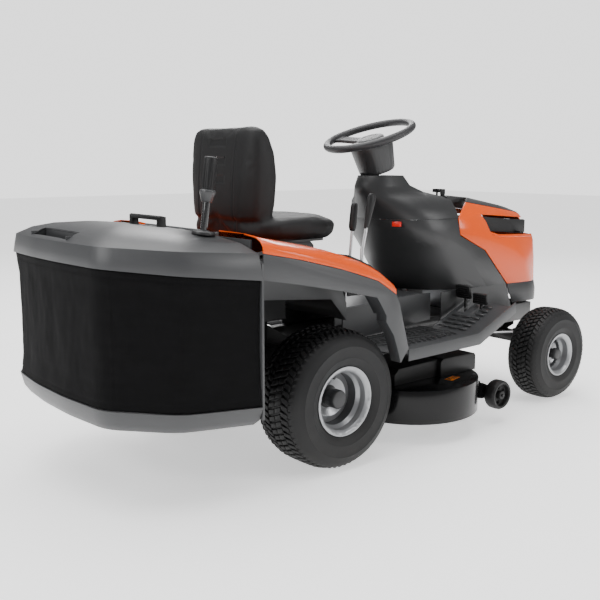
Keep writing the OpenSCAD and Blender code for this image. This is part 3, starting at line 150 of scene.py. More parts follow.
def merged_copy(node, name, flat=0.0):
    """A loose copy of a frame part with its doubled corners merged and, if asked, its flat faces made whole."""
    src = frame["nodes"][node]
    src.hide_viewport = False
    pick(src)
    bpy.ops.object.duplicate()
    c = bpy.context.view_layer.objects.active
    c.name = name
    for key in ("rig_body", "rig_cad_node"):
        if key in c:
            del c[key]
    c.parent = None
    pick(c)
    bpy.ops.object.mode_set(mode="EDIT")
    bpy.ops.mesh.select_all(action="SELECT")
    bpy.ops.mesh.remove_doubles(threshold=0.00002)
    if flat:
        bpy.ops.mesh.dissolve_limited(angle_limit=math.radians(flat))
    bpy.ops.object.mode_set(mode="OBJECT")
    return c


def solid_part(node, name, material, edge=0.0015, angle=35, segments=2, flat=0.6):
    """A frame part's own shape with rounded edges, standing for that part."""
    c = merged_copy(node, name, flat)
    if edge:
        soften(c, edge, angle, segments)
    else:
        bpy.ops.object.shade_smooth_by_angle(angle=math.radians(angle))
    dress(c, name, material, frame["nodes"][node]["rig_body"])
    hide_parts(node)
    return c


# ---------------------------------------------------------------- effects that materials share
def group(name, inputs, outputs):
    """A shader node group with named sockets, and its two ends."""
    g = bpy.data.node_groups.new(name, "ShaderNodeTree")
    for n, kind, value in inputs:
        s = g.interface.new_socket(name=n, in_out="INPUT", socket_type=kind)
        if value is not None:
            s.default_value = value
    for n, kind in outputs:
        g.interface.new_socket(name=n, in_out="OUTPUT", socket_type=kind)
    return g, g.nodes.new("NodeGroupInput"), g.nodes.new("NodeGroupOutput")


def math_node(t, kind, a, b=None):
    """One sum on numbers or sockets."""
    n = t.nodes.new("ShaderNodeMath")
    n.operation = kind
    for i, v in enumerate((a, b)):
        if v is None:
            continue
        if isinstance(v, (int, float)):
            n.inputs[i].default_value = v
        else:
            t.links.new(v, n.inputs[i])
    return n.outputs[0]


def mix_colour(t, share, a, b):
    """Blends two colours."""
    n = t.nodes.new("ShaderNodeMix")
    n.data_type = "RGBA"
    t.links.new(share, n.inputs[0])
    for i, v in ((6, a), (7, b)):
        if isinstance(v, tuple):
            n.inputs[i].default_value = v
        else:
            t.links.new(v, n.inputs[i])
    return n.outputs[2]


def make_moulding():
    """Fine grain, soft cloudiness and scuffs of a moulded or painted surface."""
    g, i, o = group("moulding", [("Colour", "NodeSocketColor", None), ("Rough", "NodeSocketFloat", 0.4),
                                 ("Grain Size", "NodeSocketFloat", 900.0), ("Grain Depth", "NodeSocketFloat", 0.3),
                                 ("Cloud", "NodeSocketFloat", 0.15), ("Scuff", "NodeSocketFloat", 0.2)],
                    [("Colour", "NodeSocketColor"), ("Rough", "NodeSocketFloat"), ("Height", "NodeSocketFloat")])
    L = g.links.new
    tc = g.nodes.new("ShaderNodeTexCoord").outputs["Object"]
    fine = g.nodes.new("ShaderNodeTexNoise")
    L(tc, fine.inputs["Vector"])
    L(i.outputs["Grain Size"], fine.inputs["Scale"])
    fine.inputs["Detail"].default_value = 2
    big = g.nodes.new("ShaderNodeTexNoise")
    L(tc, big.inputs["Vector"])
    big.inputs["Scale"].default_value = 9
    big.inputs["Detail"].default_value = 4
    scr = g.nodes.new("ShaderNodeTexNoise")
    L(tc, scr.inputs["Vector"])
    scr.inputs["Scale"].default_value = 60
    scr.inputs["Detail"].default_value = 6
    scr.inputs["Distortion"].default_value = 1.5
    cloud = math_node(g, "MULTIPLY", math_node(g, "SUBTRACT", big.outputs[0], 0.5), i.outputs["Cloud"])
    scuff = math_node(g, "MULTIPLY", math_node(g, "GREATER_THAN", scr.outputs[0], 0.66), i.outputs["Scuff"])
    hsv = g.nodes.new("ShaderNodeHueSaturation")
    L(i.outputs["Colour"], hsv.inputs["Color"])
    L(math_node(g, "ADD", math_node(g, "ADD", cloud, 1.0), math_node(g, "MULTIPLY", scuff, 0.15)),
      hsv.inputs["Value"])
    L(hsv.outputs[0], o.inputs["Colour"])
    L(math_node(g, "ADD", i.outputs["Rough"], math_node(g, "ADD", cloud, math_node(g, "MULTIPLY", scuff, 0.2))),
      o.inputs["Rough"])
    L(math_node(g, "MULTIPLY", fine.outputs[0], i.outputs["Grain Depth"]), o.inputs["Height"])
    return g


def make_dust():
    """Pale dust that gathers low down."""
    g, i, o = group("dust", [("Colour", "NodeSocketColor", None), ("Amount", "NodeSocketFloat", 0.1),
                             ("Top", "NodeSocketFloat", 0.5)], [("Colour", "NodeSocketColor")])
    L = g.links.new
    tc = g.nodes.new("ShaderNodeTexCoord").outputs["Object"]
    sep = g.nodes.new("ShaderNodeSeparateXYZ")
    L(tc, sep.inputs[0])
    n = g.nodes.new("ShaderNodeTexNoise")
    L(tc, n.inputs["Vector"])
    n.inputs["Scale"].default_value = 25
    n.inputs["Detail"].default_value = 5
    low = math_node(g, "SUBTRACT", 1.0, math_node(g, "DIVIDE", sep.outputs[2], i.outputs["Top"]))
    low = math_node(g, "MAXIMUM", low, 0.0)
    share = math_node(g, "MULTIPLY", math_node(g, "MULTIPLY", low, n.outputs[0]), i.outputs["Amount"])
    L(mix_colour(g, share, i.outputs["Colour"], (0.35, 0.32, 0.27, 1)), o.inputs["Colour"])
    return g


def make_weave():
    """Plain weave that follows the cloth's own UV map, with a faint slub."""
    g, i, o = group("weave", [("Colour", "NodeSocketColor", None), ("Threads", "NodeSocketFloat", 600.0)],
                    [("Colour", "NodeSocketColor"), ("Height", "NodeSocketFloat")])
    L = g.links.new
    uv = g.nodes.new("ShaderNodeTexCoord").outputs["UV"]
    waves = []
    for axis in ("X", "Y"):
        w = g.nodes.new("ShaderNodeTexWave")
        w.bands_direction = axis
        L(uv, w.inputs["Vector"])
        L(i.outputs["Threads"], w.inputs["Scale"])
        waves.append(w.outputs["Fac"])
    n = g.nodes.new("ShaderNodeTexNoise")
    L(uv, n.inputs["Vector"])
    n.inputs["Scale"].default_value = 14
    n.inputs["Detail"].default_value = 5
    h = math_node(g, "MULTIPLY", waves[0], waves[1])
    hsv = g.nodes.new("ShaderNodeHueSaturation")
    L(i.outputs["Colour"], hsv.inputs["Color"])
    v = math_node(g, "ADD", math_node(g, "MULTIPLY", h, 0.8), math_node(g, "MULTIPLY", n.outputs[0], 0.8))
    L(math_node(g, "ADD", v, 0.4), hsv.inputs["Value"])
    L(hsv.outputs[0], o.inputs["Colour"])
    L(h, o.inputs["Height"])
    return g


def make_brushed():
    """Long fine lines of drawn or ground steel."""
    g, i, o = group("brushed", [("Colour", "NodeSocketColor", None), ("Rough", "NodeSocketFloat", 0.3)],
                    [("Colour", "NodeSocketColor"), ("Rough", "NodeSocketFloat"), ("Height", "NodeSocketFloat")])
    L = g.links.new
    mp = g.nodes.new("ShaderNodeMapping")
    L(g.nodes.new("ShaderNodeTexCoord").outputs["Object"], mp.inputs["Vector"])
    mp.inputs["Scale"].default_value = (900, 900, 30)
    n = g.nodes.new("ShaderNodeTexNoise")
    L(mp.outputs[0], n.inputs["Vector"])
    n.inputs["Scale"].default_value = 1
    n.inputs["Detail"].default_value = 3
    hsv = g.nodes.new("ShaderNodeHueSaturation")
    L(i.outputs["Colour"], hsv.inputs["Color"])
    L(math_node(g, "ADD", math_node(g, "MULTIPLY", n.outputs[0], 0.3), 0.85), hsv.inputs["Value"])
    L(hsv.outputs[0], o.inputs["Colour"])
    L(math_node(g, "ADD", i.outputs["Rough"], math_node(g, "MULTIPLY", n.outputs[0], 0.15)), o.inputs["Rough"])
    L(n.outputs[0], o.inputs["Height"])
    return g


MOULDING = make_moulding()
DUST = make_dust()
WEAVE = make_weave()
BRUSHED = make_brushed()


def shader(name, metallic=0.0, coat=0.0, coat_rough=0.05, specular=0.5, sheen=0.0):
    """A material with its plain values set: the material, its node tree and its shader."""
    m = bpy.data.materials.new(name)
    m.use_nodes = True
    p = m.node_tree.nodes["Principled BSDF"]
    p.inputs["Metallic"].default_value = metallic
    p.inputs["Coat Weight"].default_value = coat
    p.inputs["Coat Roughness"].default_value = coat_rough
    p.inputs["Specular IOR Level"].default_value = specular
    p.inputs["Sheen Weight"].default_value = sheen
    return m, m.node_tree, p


def effect(t, g, **values):
    """Places a shared effect in a material."""
    n = t.nodes.new("ShaderNodeGroup")
    n.node_tree = g
    for key, value in values.items():
        n.inputs[key.replace("_", " ")].default_value = value
    return n


def bump(t, p, height, strength, distance=0.0005):
    """Fine relief from a height."""
    b = t.nodes.new("ShaderNodeBump")
    b.inputs["Strength"].default_value = strength
    b.inputs["Distance"].default_value = distance
    t.links.new(height, b.inputs["Height"])
    t.links.new(b.outputs[0], p.inputs["Normal"])
    return b


def moulded(name, colour, rough, grain=900.0, depth=0.3, cloud=0.1, scuff=0.2, metallic=0.0, coat=0.0,
            dust=0.0, dust_top=0.5, strength=0.35, specular=0.5):
    """Moulded plastic, rubber, vinyl or paint, with dust low down if asked."""
    m, t, p = shader(name, metallic, coat, specular=specular)
    n = effect(t, MOULDING, Colour=(*colour, 1), Rough=rough, Grain_Size=grain, Grain_Depth=depth, Cloud=cloud,
               Scuff=scuff)
    colour_out = n.outputs["Colour"]
    if dust:
        d = effect(t, DUST, Amount=dust, Top=dust_top)
        t.links.new(colour_out, d.inputs["Colour"])
        colour_out = d.outputs["Colour"]
    t.links.new(colour_out, p.inputs["Base Color"])
    t.links.new(n.outputs["Rough"], p.inputs["Roughness"])
    bump(t, p, n.outputs["Height"], strength)
    return m


def steel(name, colour, rough):
    """Bare drawn or ground steel."""
    m, t, p = shader(name, 1.0)
    n = effect(t, BRUSHED, Colour=(*colour, 1), Rough=rough)
    t.links.new(n.outputs["Colour"], p.inputs["Base Color"])
    t.links.new(n.outputs["Rough"], p.inputs["Roughness"])
    bump(t, p, n.outputs["Height"], 0.15, 0.0002)
    return m


def cloth(name, colour, threads):
    """Woven cloth."""
    m, t, p = shader(name, sheen=0.015, specular=0.1)
    n = effect(t, WEAVE, Colour=(*colour, 1), Threads=threads)
    t.links.new(n.outputs["Colour"], p.inputs["Base Color"])
    p.inputs["Roughness"].default_value = 0.85
    bump(t, p, n.outputs["Height"], 0.5, 0.0006)
    return m


ORANGE = moulded("orange_gloss", (0.74, 0.078, 0.0), 0.26, 300, 0.05, 0.03, 0.05, coat=0.22, strength=0.05,
                 specular=0.25)
MID_GREY = moulded("mid_grey_plastic", (0.038, 0.039, 0.041), 0.4, 1500, 0.35, 0.05, 0.1, dust=0.03, dust_top=0.4)
DARK_GREY = moulded("dark_grey_plastic", (0.021, 0.0215, 0.0225), 0.42, 1500, 0.35, 0.05, 0.1)
BLACK_PLASTIC = moulded("black_plastic", (0.006, 0.006, 0.0065), 0.5, 1200, 0.4, 0.08, 0.15, dust=0.02,
                        specular=0.35)
BLACK_STEEL = moulded("black_steel", (0.007, 0.007, 0.008), 0.4, 500, 0.3, 0.08, 0.15, coat=0.15, dust=0.08)
GLOSS_BLACK = moulded("gloss_black_steel", (0.003, 0.003, 0.0033), 0.18, 200, 0.1, 0.04, 0.1, coat=0.12,
                      dust=0.01, dust_top=0.2, specular=0.2)
SILVER = moulded("silver_rim", (0.31, 0.315, 0.325), 0.32, 700, 0.3, 0.05, 0.1, metallic=0.55, coat=0.3, dust=0.05,
                 dust_top=0.4)
# painted shade: a dark colour standing for the shadow that falls in the rim's narrow groove
GROOVE_SHADE = moulded("rim_shade", (0.06, 0.062, 0.066), 0.5, 700, 0.3, 0.05, 0.1, metallic=0.3, dust=0.05)
TYRE = moulded("tyre_rubber", (0.006, 0.006, 0.0065), 0.6, 700, 0.6, 0.15, 0.3, dust=0.035, dust_top=0.3,
               specular=0.35)
VINYL = moulded("seat_vinyl", (0.0065, 0.0065, 0.007), 0.58, 650, 0.8, 0.08, 0.1, strength=0.5, specular=0.3)
GRIP = moulded("soft_grip", (0.02, 0.02, 0.022), 0.5, 1100, 0.5, 0.06, 0.1)
ALLOY = moulded("cast_alloy", (0.45, 0.46, 0.48), 0.5, 500, 0.7, 0.1, 0.2, metallic=0.9, dust=0.15)
BELT = moulded("belt_rubber", (0.015, 0.015, 0.015), 0.75, 900, 0.6, 0.1, 0.2)
RED = moulded("red_plastic", (0.8, 0.02, 0.01), 0.25, 500, 0.1, 0.03, 0.05, coat=0.5, strength=0.1)
ZINC = steel("zinc_steel", (0.55, 0.55, 0.56), 0.28)
BLADE = steel("blade_steel", (0.4, 0.41, 0.43), 0.35)
CHROME = steel("key_chrome", (0.7, 0.7, 0.72), 0.1)
FABRIC = cloth("black_fabric", (0.003, 0.003, 0.0033), 160)
LABEL = moulded("label_orange", (0.85, 0.22, 0.01), 0.4, 500, 0.1, 0.05, 0.05)

# ---------------------------------------------------------------- parts whose shape the frame already has
PLAIN = [
    ("frame", BLACK_STEEL, "black_steel", 0.001), ("rear_plate", BLACK_STEEL, "black_steel", 0.001),
    ("transaxle", ALLOY, "cast_alloy", 0.002), ("engine_block", ALLOY, "cast_alloy", 0.002),
    ("engine_shroud", BLACK_PLASTIC, "black_plastic", 0.003), ("fuel_tank", BLACK_PLASTIC, "black_plastic", 0.004),
    ("battery", BLACK_PLASTIC, "black_plastic", 0.002), ("drive_belt", BELT, "belt_rubber", 0.001),
    ("deck_belt", BELT, "belt_rubber", 0.001), ("discharge_tunnel", BLACK_PLASTIC, "black_plastic", 0.001),
    ("dash_tower", DARK_GREY, "dark_grey_plastic", 0.002), ("dash_side_panels", DARK_GREY, "dark_grey_plastic", 0.002),
    ("column_cover", DARK_GREY, "dark_grey_plastic", 0.002), ("footrest", MID_GREY, "mid_grey_plastic", 0.0015),
    ("fender_base", MID_GREY, "mid_grey_plastic", 0.0015), ("fender_cover", ORANGE, "orange_gloss", 0.0015),
    ("lever_console", BLACK_PLASTIC, "black_plastic", 0.002), ("hood_shell", ORANGE, "orange_gloss", 0.0015),
    ("hood_top_panel", DARK_GREY, "dark_grey_plastic", 0.001), ("grille_frame", BLACK_PLASTIC, "black_plastic", 0.001),
    ("bumper_skirt", DARK_GREY, "dark_grey_plastic", 0.0015), ("seat_base", BLACK_STEEL, "black_steel", 0.0015),
    ("seat_slider", BLACK_STEEL, "black_steel", 0.001), ("seat_pan", BLACK_STEEL, "black_steel", 0.0015),
    ("seat_shell", VINYL, "seat_vinyl", 0.004), ("steering_wheel", GRIP, "wheel_grip", 0.002),
    ("steering_shaft", ZINC, "zinc_steel", 0.0005), ("steering_sector", ZINC, "zinc_steel", 0.0005),
    ("front_axle", BLACK_STEEL, "black_steel", 0.002), ("spindle_right", BLACK_STEEL, "black_steel", 0.001),
    ("spindle_left", BLACK_STEEL, "black_steel", 0.001), ("tie_rod_right", ZINC, "zinc_steel", 0.0005),
    ("tie_rod_left", ZINC, "zinc_steel", 0.0005), ("front_rim_right", SILVER, "silver_rim", 0.001),
    ("front_rim_left", SILVER, "silver_rim", 0.001), ("rear_rim_right", SILVER, "silver_rim", 0.001),
    ("rear_rim_left", SILVER, "silver_rim", 0.001), ("front_tyre_right", TYRE, "tyre_rubber", 0.0),
    ("front_tyre_left", TYRE, "tyre_rubber", 0.0), ("rear_tyre_right", TYRE, "tyre_rubber", 0.0),
    ("rear_tyre_left", TYRE, "tyre_rubber", 0.0), ("deck_shell", GLOSS_BLACK, "gloss_black_steel", 0.0012),
    ("belt_cover", BLACK_PLASTIC, "black_plastic", 0.003), ("blade_right", BLADE, "blade_steel", 0.0005),
    ("blade_left", BLADE, "blade_steel", 0.0005), ("gauge_wheel_right", BLACK_PLASTIC, "black_plastic", 0.002),
    ("gauge_wheel_left", BLACK_PLASTIC, "black_plastic", 0.002), ("bag_lid", MID_GREY, "mid_grey_plastic", 0.0015),
    ("bag_fabric", FABRIC, "black_fabric", 0.0), ("bag_tray", MID_GREY, "mid_grey_plastic", 0.0015),
    ("bag_frame", BLACK_STEEL, "black_steel", 0.001), ("dump_handle", ZINC, "zinc_steel", 0.001),
    ("height_lever", ZINC, "zinc_steel", 0.001), ("blade_lever", ZINC, "zinc_steel", 0.001),
    ("forward_pedal", BLACK_PLASTIC, "black_plastic", 0.001), ("reverse_pedal", BLACK_PLASTIC, "black_plastic", 0.001),
    ("brake_pedal", BLACK_PLASTIC, "black_plastic", 0.001), ("throttle_lever", BLACK_PLASTIC, "black_plastic", 0.001),
    ("ignition_key", BLACK_PLASTIC, "key_chrome", 0.0005), ("parking_brake", RED, "red_plastic", 0.001),
]
MADE_AFRESH = {"rear_tyre_right", "rear_tyre_left", "front_tyre_right", "front_tyre_left", "seat_shell", "bag_fabric",
               "steering_wheel", "dump_handle", "height_lever"}
PARTS = {}
for node, material, slot_name, edge in PLAIN:
    if node not in MADE_AFRESH:
        PARTS[node] = solid_part(node, node + "_finished", material, edge)



def paint(o, material, where):
    """Gives another material to the faces whose middle passes the test."""
    o.data.materials.append(material)
    last = len(o.data.materials) - 1
    for f in o.data.polygons:
        if where(f.center):
            f.material_index = last


def from_axle(c, x, z):
    """How far a face's middle lies from an axle across the machine, in mm."""
    return 1000 * math.hypot(c.x + AXLE - x / 1000, c.z - z / 1000)


for word in ("right", "left"):
    for end, x, (z, _, rim), cap in (("rear", 0, REAR_TYRE, 36), ("front", WHEELBASE, FRONT_TYRE, 33)):
        o = PARTS[end + "_rim_" + word]
        paint(o, DARK_GREY, lambda c: from_axle(c, x, z) < cap)
        paint(o, BLACK_PLASTIC, lambda c: from_axle(c, x, z + rim * 0.66) < 6.2)
        # painted shade: the rim's narrow groove is coloured dark where shade falls
        paint(o, GROOVE_SHADE, lambda c: rim - 17.5 < from_axle(c, x, z) < rim - 14.5)
paint(PARTS["bag_lid"], BLACK_PLASTIC, lambda c: abs(c.x + AXLE + 0.441) < 0.03 and abs(c.y) < 0.12 and c.z > 0.789)
paint(PARTS["bag_frame"], MID_GREY, lambda c: c.z > 0.3)
paint(PARTS["blade_lever"], BLACK_PLASTIC, lambda c: c.z > 0.768)

# ---------------------------------------------------------------- turned pieces
def turned(name, rings, steps=96, closed=False, cap=False):
    """Turns a profile round the upright axis. rings are (radius, height) pairs in metres."""
    deselect()
    r0, h0 = rings[0]
    bpy.ops.mesh.primitive_circle_add(vertices=steps, radius=r0, location=(0, 0, h0),
                                      fill_type="NGON" if cap else "NOTHING")
    o = bpy.context.object
    o.name = name
    bpy.ops.object.transform_apply(location=True)
    bpy.ops.object.mode_set(mode="EDIT")
    bpy.ops.mesh.select_all(action="SELECT")
    for r, h in rings[1:] + (rings[:1] if closed else []):
        bpy.ops.mesh.extrude_edges_move() if not cap else bpy.ops.mesh.extrude_region_move()
        s = r / r0
        bpy.ops.transform.resize(value=(s, s, 1), center_override=(0, 0, h0))
        bpy.ops.transform.translate(value=(0, 0, h - h0))
        r0, h0 = r, h
    bpy.ops.mesh.select_all(action="SELECT")
    bpy.ops.mesh.remove_doubles(threshold=0.00001)
    bpy.ops.mesh.normals_make_consistent(inside=False)
    bpy.ops.object.mode_set(mode="OBJECT")
    return o


def tread_row(R, row, count, depth):
    """One ring of tread blocks: row is (place across, length round, width across, skew, turn, tilt, drop)."""
    across, long, wide, skew, turn, tilt, drop = row
    deselect()
    bpy.ops.mesh.primitive_cube_add(size=1, location=(0, 0, 0))
    o = bpy.context.object
    o.scale = (long, wide, depth)
    settle(o)
    bpy.ops.object.mode_set(mode="EDIT")
    bpy.ops.mesh.select_all(action="SELECT")
    bpy.ops.mesh.subdivide(number_cuts=1)
    bpy.ops.object.mode_set(mode="OBJECT")
    for v in o.data.vertices:
        v.co.x += skew * v.co.y * 2 / wide * (1 if abs(v.co.y) < wide else 0)
        if v.co.z > 0.0001:
            v.co.x *= 0.86
            v.co.y *= 0.9
        v.co.z -= v.co.y ** 2 * 2.0
    o.rotation_euler = (math.radians(tilt), 0, 0)
    o.location = (0, across, R - drop - depth / 2)
    settle(o)
    modify(o, "BEVEL", width=0.0009, segments=1, limit_method="ANGLE", angle_limit=math.radians(40))
    turner = bpy.data.objects.new("turner", None)
    bpy.context.scene.collection.objects.link(turner)
    turner.rotation_euler = (0, math.radians(360 / count), 0)
    bpy.context.view_layer.update()
    modify(o, "ARRAY", count=count, use_relative_offset=False, use_object_offset=True, offset_object=turner)
    bpy.data.objects.remove(turner)
    o.rotation_euler = (0, math.radians(360 / count * turn), 0)
    return settle(o)


def turf_tyre(name, R, W, rb, count, axle, body, node):
    """A tyre of outside radius R, width W and bead radius rb in mm, with count tread blocks in each ring."""
    R, W, rb = R / 1000, W / 1000, rb / 1000
    H, d = R - rb, 0.0075
    half = [(rb, .36), (rb + .06 * H, .395), (rb + .12 * H, .43), (rb + .22 * H, .462), (rb + .3 * H, .481),
            (rb + .33 * H, .490), (rb + .36 * H, .486), (rb + .5 * H, .4985), (rb + .6 * H, .494), (rb + .62 * H, .499),
            (rb + .65 * H, .4885), (rb + .76 * H, .462), (rb + .85 * H, .425), (R - d - .035 * H, .375),
            (R - d - .008 * H, .28), (R - d, .14)]
    inner = [(rb, .33), (rb + .3 * H, .43), (rb + .6 * H, .44), (R - .2 * H, .34), (R - .15 * H, .12)]
    ring = ([(r, w * W) for r, w in half] + [(r, -w * W) for r, w in reversed(half)]
            + [(r, -w * W) for r, w in inner] + [(r, w * W) for r, w in reversed(inner)])
    o = turned(name, ring, 112, closed=True)
    o.rotation_euler = (math.radians(90), 0, 0)
    settle(o)
    pitch = 2 * math.pi * R / count
    rows = []
    for i, (a, wide, drop) in enumerate([(0.0, .13, 0.0), (.135, .12, .0006), (.265, .12, .0035)]):
        for s in ((1,) if i == 0 else (1, -1)):
            rows.append((a * W * s, pitch * .7, wide * W, (0.005 if (i % 2) else -0.005) * s, (i % 2) * .5,
                         -s * (2, 6, 17)[i], drop))
    for s in (1, -1):
        rows.append((.385 * W * s, pitch * .5, .135 * W, 0.004 * s, .5, -s * 42, .0105 + .03 * H))
        rows.append((.455 * W * s, pitch * .3, .09 * W, 0.002 * s, .5, -s * 64, .028 + .06 * H))
    blocks = [tread_row(R, r, count, d + 0.004 if abs(r[0]) < .3 * W else d + .002) for r in rows]
    o = join(name, [o] + blocks)
    for v in o.data.vertices:
        flat = math.hypot(v.co.x, v.co.z)
        if flat > R:
            v.co.x *= R / flat
            v.co.z *= R / flat
    o.location = mm(*axle)
    settle(o)
    pick(o)
    bpy.ops.object.shade_smooth_by_angle(angle=math.radians(35))
    dress(o, name, TYRE, body)
    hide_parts(node)
    return o


for side, word in ((1, "right"), (-1, "left")):
    turf_tyre("rear_tyre_" + word + "_turf", *REAR_TYRE, 62, (0, -side * REAR_TRACK, REAR_TYRE[0]),
              "rear_wheel_" + word, "rear_tyre_" + word)
    turf_tyre("front_tyre_" + word + "_turf", *FRONT_TYRE, 54, (WHEELBASE, -side * FRONT_TRACK, FRONT_TYRE[0]),
              "front_wheel_" + word, "front_tyre_" + word)


# ---------------------------------------------------------------- seat
def groove(o, near, depth):
    """Presses the surface in. near gives how deep, from 0 to 1, at a point in metres."""
    normals = [v.normal.copy() for v in o.data.vertices]
    for v, n in zip(o.data.vertices, normals):
        k = near(v.co, n)
        if k > 0:
            v.co -= n * depth * k


def band(value, centre, width):
    """A soft ridge, 1 at the centre and 0 away from it."""
    return math.exp(-((value - centre) / width) ** 2)


def padded_seat():
    """The one-piece cushion and back: filled out, then pressed with seams and three panels."""
    o = merged_copy("seat_shell", "seat_cushion")
    o.data.remesh_voxel_size = 0.0075
    pick(o)
    bpy.ops.object.voxel_remesh()
    modify(o, "SMOOTH", factor=0.6, iterations=9)
    rest = [v.co.copy() for v in o.data.vertices]
    c = o.modifiers.new("Cloth", "CLOTH")
    s = c.settings
    s.use_pressure = True
    s.uniform_pressure_force = 4
    s.effector_weights.gravity = 0
    s.quality = 4
    s.tension_stiffness = s.compression_stiffness = 30
    s.bending_stiffness = 4
    for f in range(1, 21):
        bpy.context.scene.frame_set(f)
    pick(o)
    bpy.ops.object.modifier_apply(modifier="Cloth")
    for v, r in zip(o.data.vertices, rest):
        d = v.co - r
        if d.length > 0.006:
            v.co = r + d * 0.006 / d.length
    bpy.context.scene.frame_set(1)
    for v in o.data.vertices:
        if v.co.z < 0.733:
            v.co.z = max(v.co.z, 0.7262)
    modify(o, "SUBSURF", levels=1, render_levels=1)

    def lines(p, n):
        k = 0.0
        x = p.x + AXLE
        if x < -0.12 and n.x < -0.2 or p.z > 1.05:
            k = max(k, band(abs(p.y), 0.098, 0.0032))
        if n.z > 0.5 and p.z < 0.83 and x > -0.03:
            k = max(k, 0.8 * band(abs(p.y), 0.128 + 0.02 * math.sin(x * 9), 0.004))
            k = max(k, 0.8 * band(x, 0.13, 0.004) * (1 if abs(p.y) < 0.128 else 0))
        if n.x > 0.4 and p.z > 0.86:
            k = max(k, 0.8 * band(abs(p.y), 0.12, 0.004))
            k = max(k, 0.8 * band(p.z, 1.03, 0.004) * (1 if abs(p.y) < 0.12 else 0))
        return k
    groove(o, lines, 0.0035)

    def panels(p, n):
        x = p.x + AXLE
        if x > -0.12 or n.x > -0.5 or abs(p.y) > 0.05:
            return 0
        for z in (1.045, 0.985, 0.925):
            if abs(p.z - z) < 0.013:
                return 1
        return 0
    groove(o, panels, 0.0035)
    pick(o)
    bpy.ops.object.shade_smooth()
    dress(o, "seat_cushion", VINYL, "seat")
    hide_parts("seat_shell")
    return o


padded_seat()

# ---------------------------------------------------------------- collector
def rounded_path(points, reach):
    """Points of a path in plan with its corners rounded."""
    out = [Vector(points[0])]
    for a, b, c in zip(points, points[1:], points[2:]):
        a, b, c = Vector(a), Vector(b), Vector(c)
        s = b + (a - b).normalized() * min(reach, (a - b).length * 0.45)
        e = b + (c - b).normalized() * min(reach, (c - b).length * 0.45)
        out += [(1 - t) ** 2 * s + 2 * t * (1 - t) * b + t * t * e for t in [k / 6 for k in range(7)]]
    return out + [Vector(points[-1])]


def spaced(path, n):
    """n + 1 points evenly spaced along a path."""
    lengths = [0]
    for a, b in zip(path, path[1:]):
        lengths.append(lengths[-1] + (b - a).length)
    out, j = [], 0
    for i in range(n + 1):
        d = lengths[-1] * i / n
        while j < len(path) - 2 and lengths[j + 1] < d:
            j += 1
        t = (d - lengths[j]) / max(lengths[j + 1] - lengths[j], 1e-9)
        out.append(path[j].lerp(path[j + 1], t))
    return out


BAG_PLAN = [(-345, -475), (-600, -444.6), (-767.8, -300.2), (-790, -95), (-790, 0)]


def bag_plan(shrink):
    """The way round the bag seen from above, drawn in by a share."""
    half = [(p[0] + (-485 - p[0]) * shrink, p[1] * (1 - shrink)) for p in BAG_PLAN]
    path = rounded_path(half, 46)
    return path + [Vector((p.x, -p.y)) for p in reversed(path[:-1])]


def fabric_bag():
    """The cloth wall stretched between the lid and the tray, with hems, corner seams and faint folds."""
    nu, nv = 300, 84
    deselect()
    bpy.ops.mesh.primitive_grid_add(x_subdivisions=nu, y_subdivisions=nv, size=1, calc_uvs=True)
    o = bpy.context.object
    levels = [(0.016, 0), (0.028, 0.2), (0.034, 0.5), (0.03, 0.8), (0.02, 1)]
    rows = []
    for j in range(nv + 1):
        t = j / nv
        for (k0, t0), (k1, t1) in zip(levels, levels[1:]):
            if t <= t1:
                f = (t - t0) / (t1 - t0)
                f = f * f * (3 - 2 * f)
                k = k0 + (k1 - k0) * f
                break
        rows.append(spaced(bag_plan(k), nu))
    corner = [0.155, 0.29, 0.71, 0.845]
    for v in o.data.vertices:
        i, j = round((v.co.x + 0.5) * nu), round((v.co.y + 0.5) * nv)
        u, t = i / nu, j / nv
        p = rows[j][i]
        q0, q1 = rows[j][max(0, i - 1)], rows[j][min(nu, i + 1)]
        n = Vector((-(q1 - q0).y, (q1 - q0).x)).normalized()
        inward = n if (Vector((-485, 0)) - p).dot(n) > 0 else -n
        back = max(0, (-345 - p.x) / 445)
        z = (283 + 29 * back) * (1 - t) + (652 + 51 * back) * t
        edge = min(1, 6 * t, 6 * (1 - t)) * min(1, 12 * u, 12 * (1 - u))
        fold = noise.noise(Vector((u * 24, t * 2.2, 3.1))) * 3.2 + noise.noise(Vector((u * 60, t * 7, 9.7))) * 1.1
        near = sum(band(u, c, 0.02) for c in corner)
        fold += near * noise.noise(Vector((u * 9, t * 16, 1.3))) * 3.0
        seam = -1.4 * sum(band(u, c, 0.0022) for c in corner) * edge
        hem = 1.1 * (band(t, 0.045, 0.01) + band(t, 0.955, 0.01))
        d = (2.2 + fold + 1.5 * near) * edge + seam + hem
        p = p + inward * max(d, -1.6)
        v.co = mm(p.x, p.y, z)
    pick(o)
    bpy.ops.object.mode_set(mode="EDIT")
    bpy.ops.mesh.select_all(action="SELECT")
    bpy.ops.mesh.normals_make_consistent(inside=False)
    bpy.ops.object.mode_set(mode="OBJECT")
    modify(o, "SOLIDIFY", thickness=0.0012, offset=-1)
    bpy.ops.object.shade_smooth()
    dress(o, "grass_bag_cloth", FABRIC, "collector")
    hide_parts("bag_fabric")
    return o


fabric_bag()


def place_along(o, x, y, z, lean):
    """Tips a piece made on the upright axis forwards and puts it at its foot."""
    o.rotation_euler = (0, math.radians(lean), 0)
    o.location = mm(x, y, z)
    return settle(o)


def scaled(rings):
    """Rings given in millimetres, in metres."""
    return [(r / 1000, h / 1000) for r, h in rings]


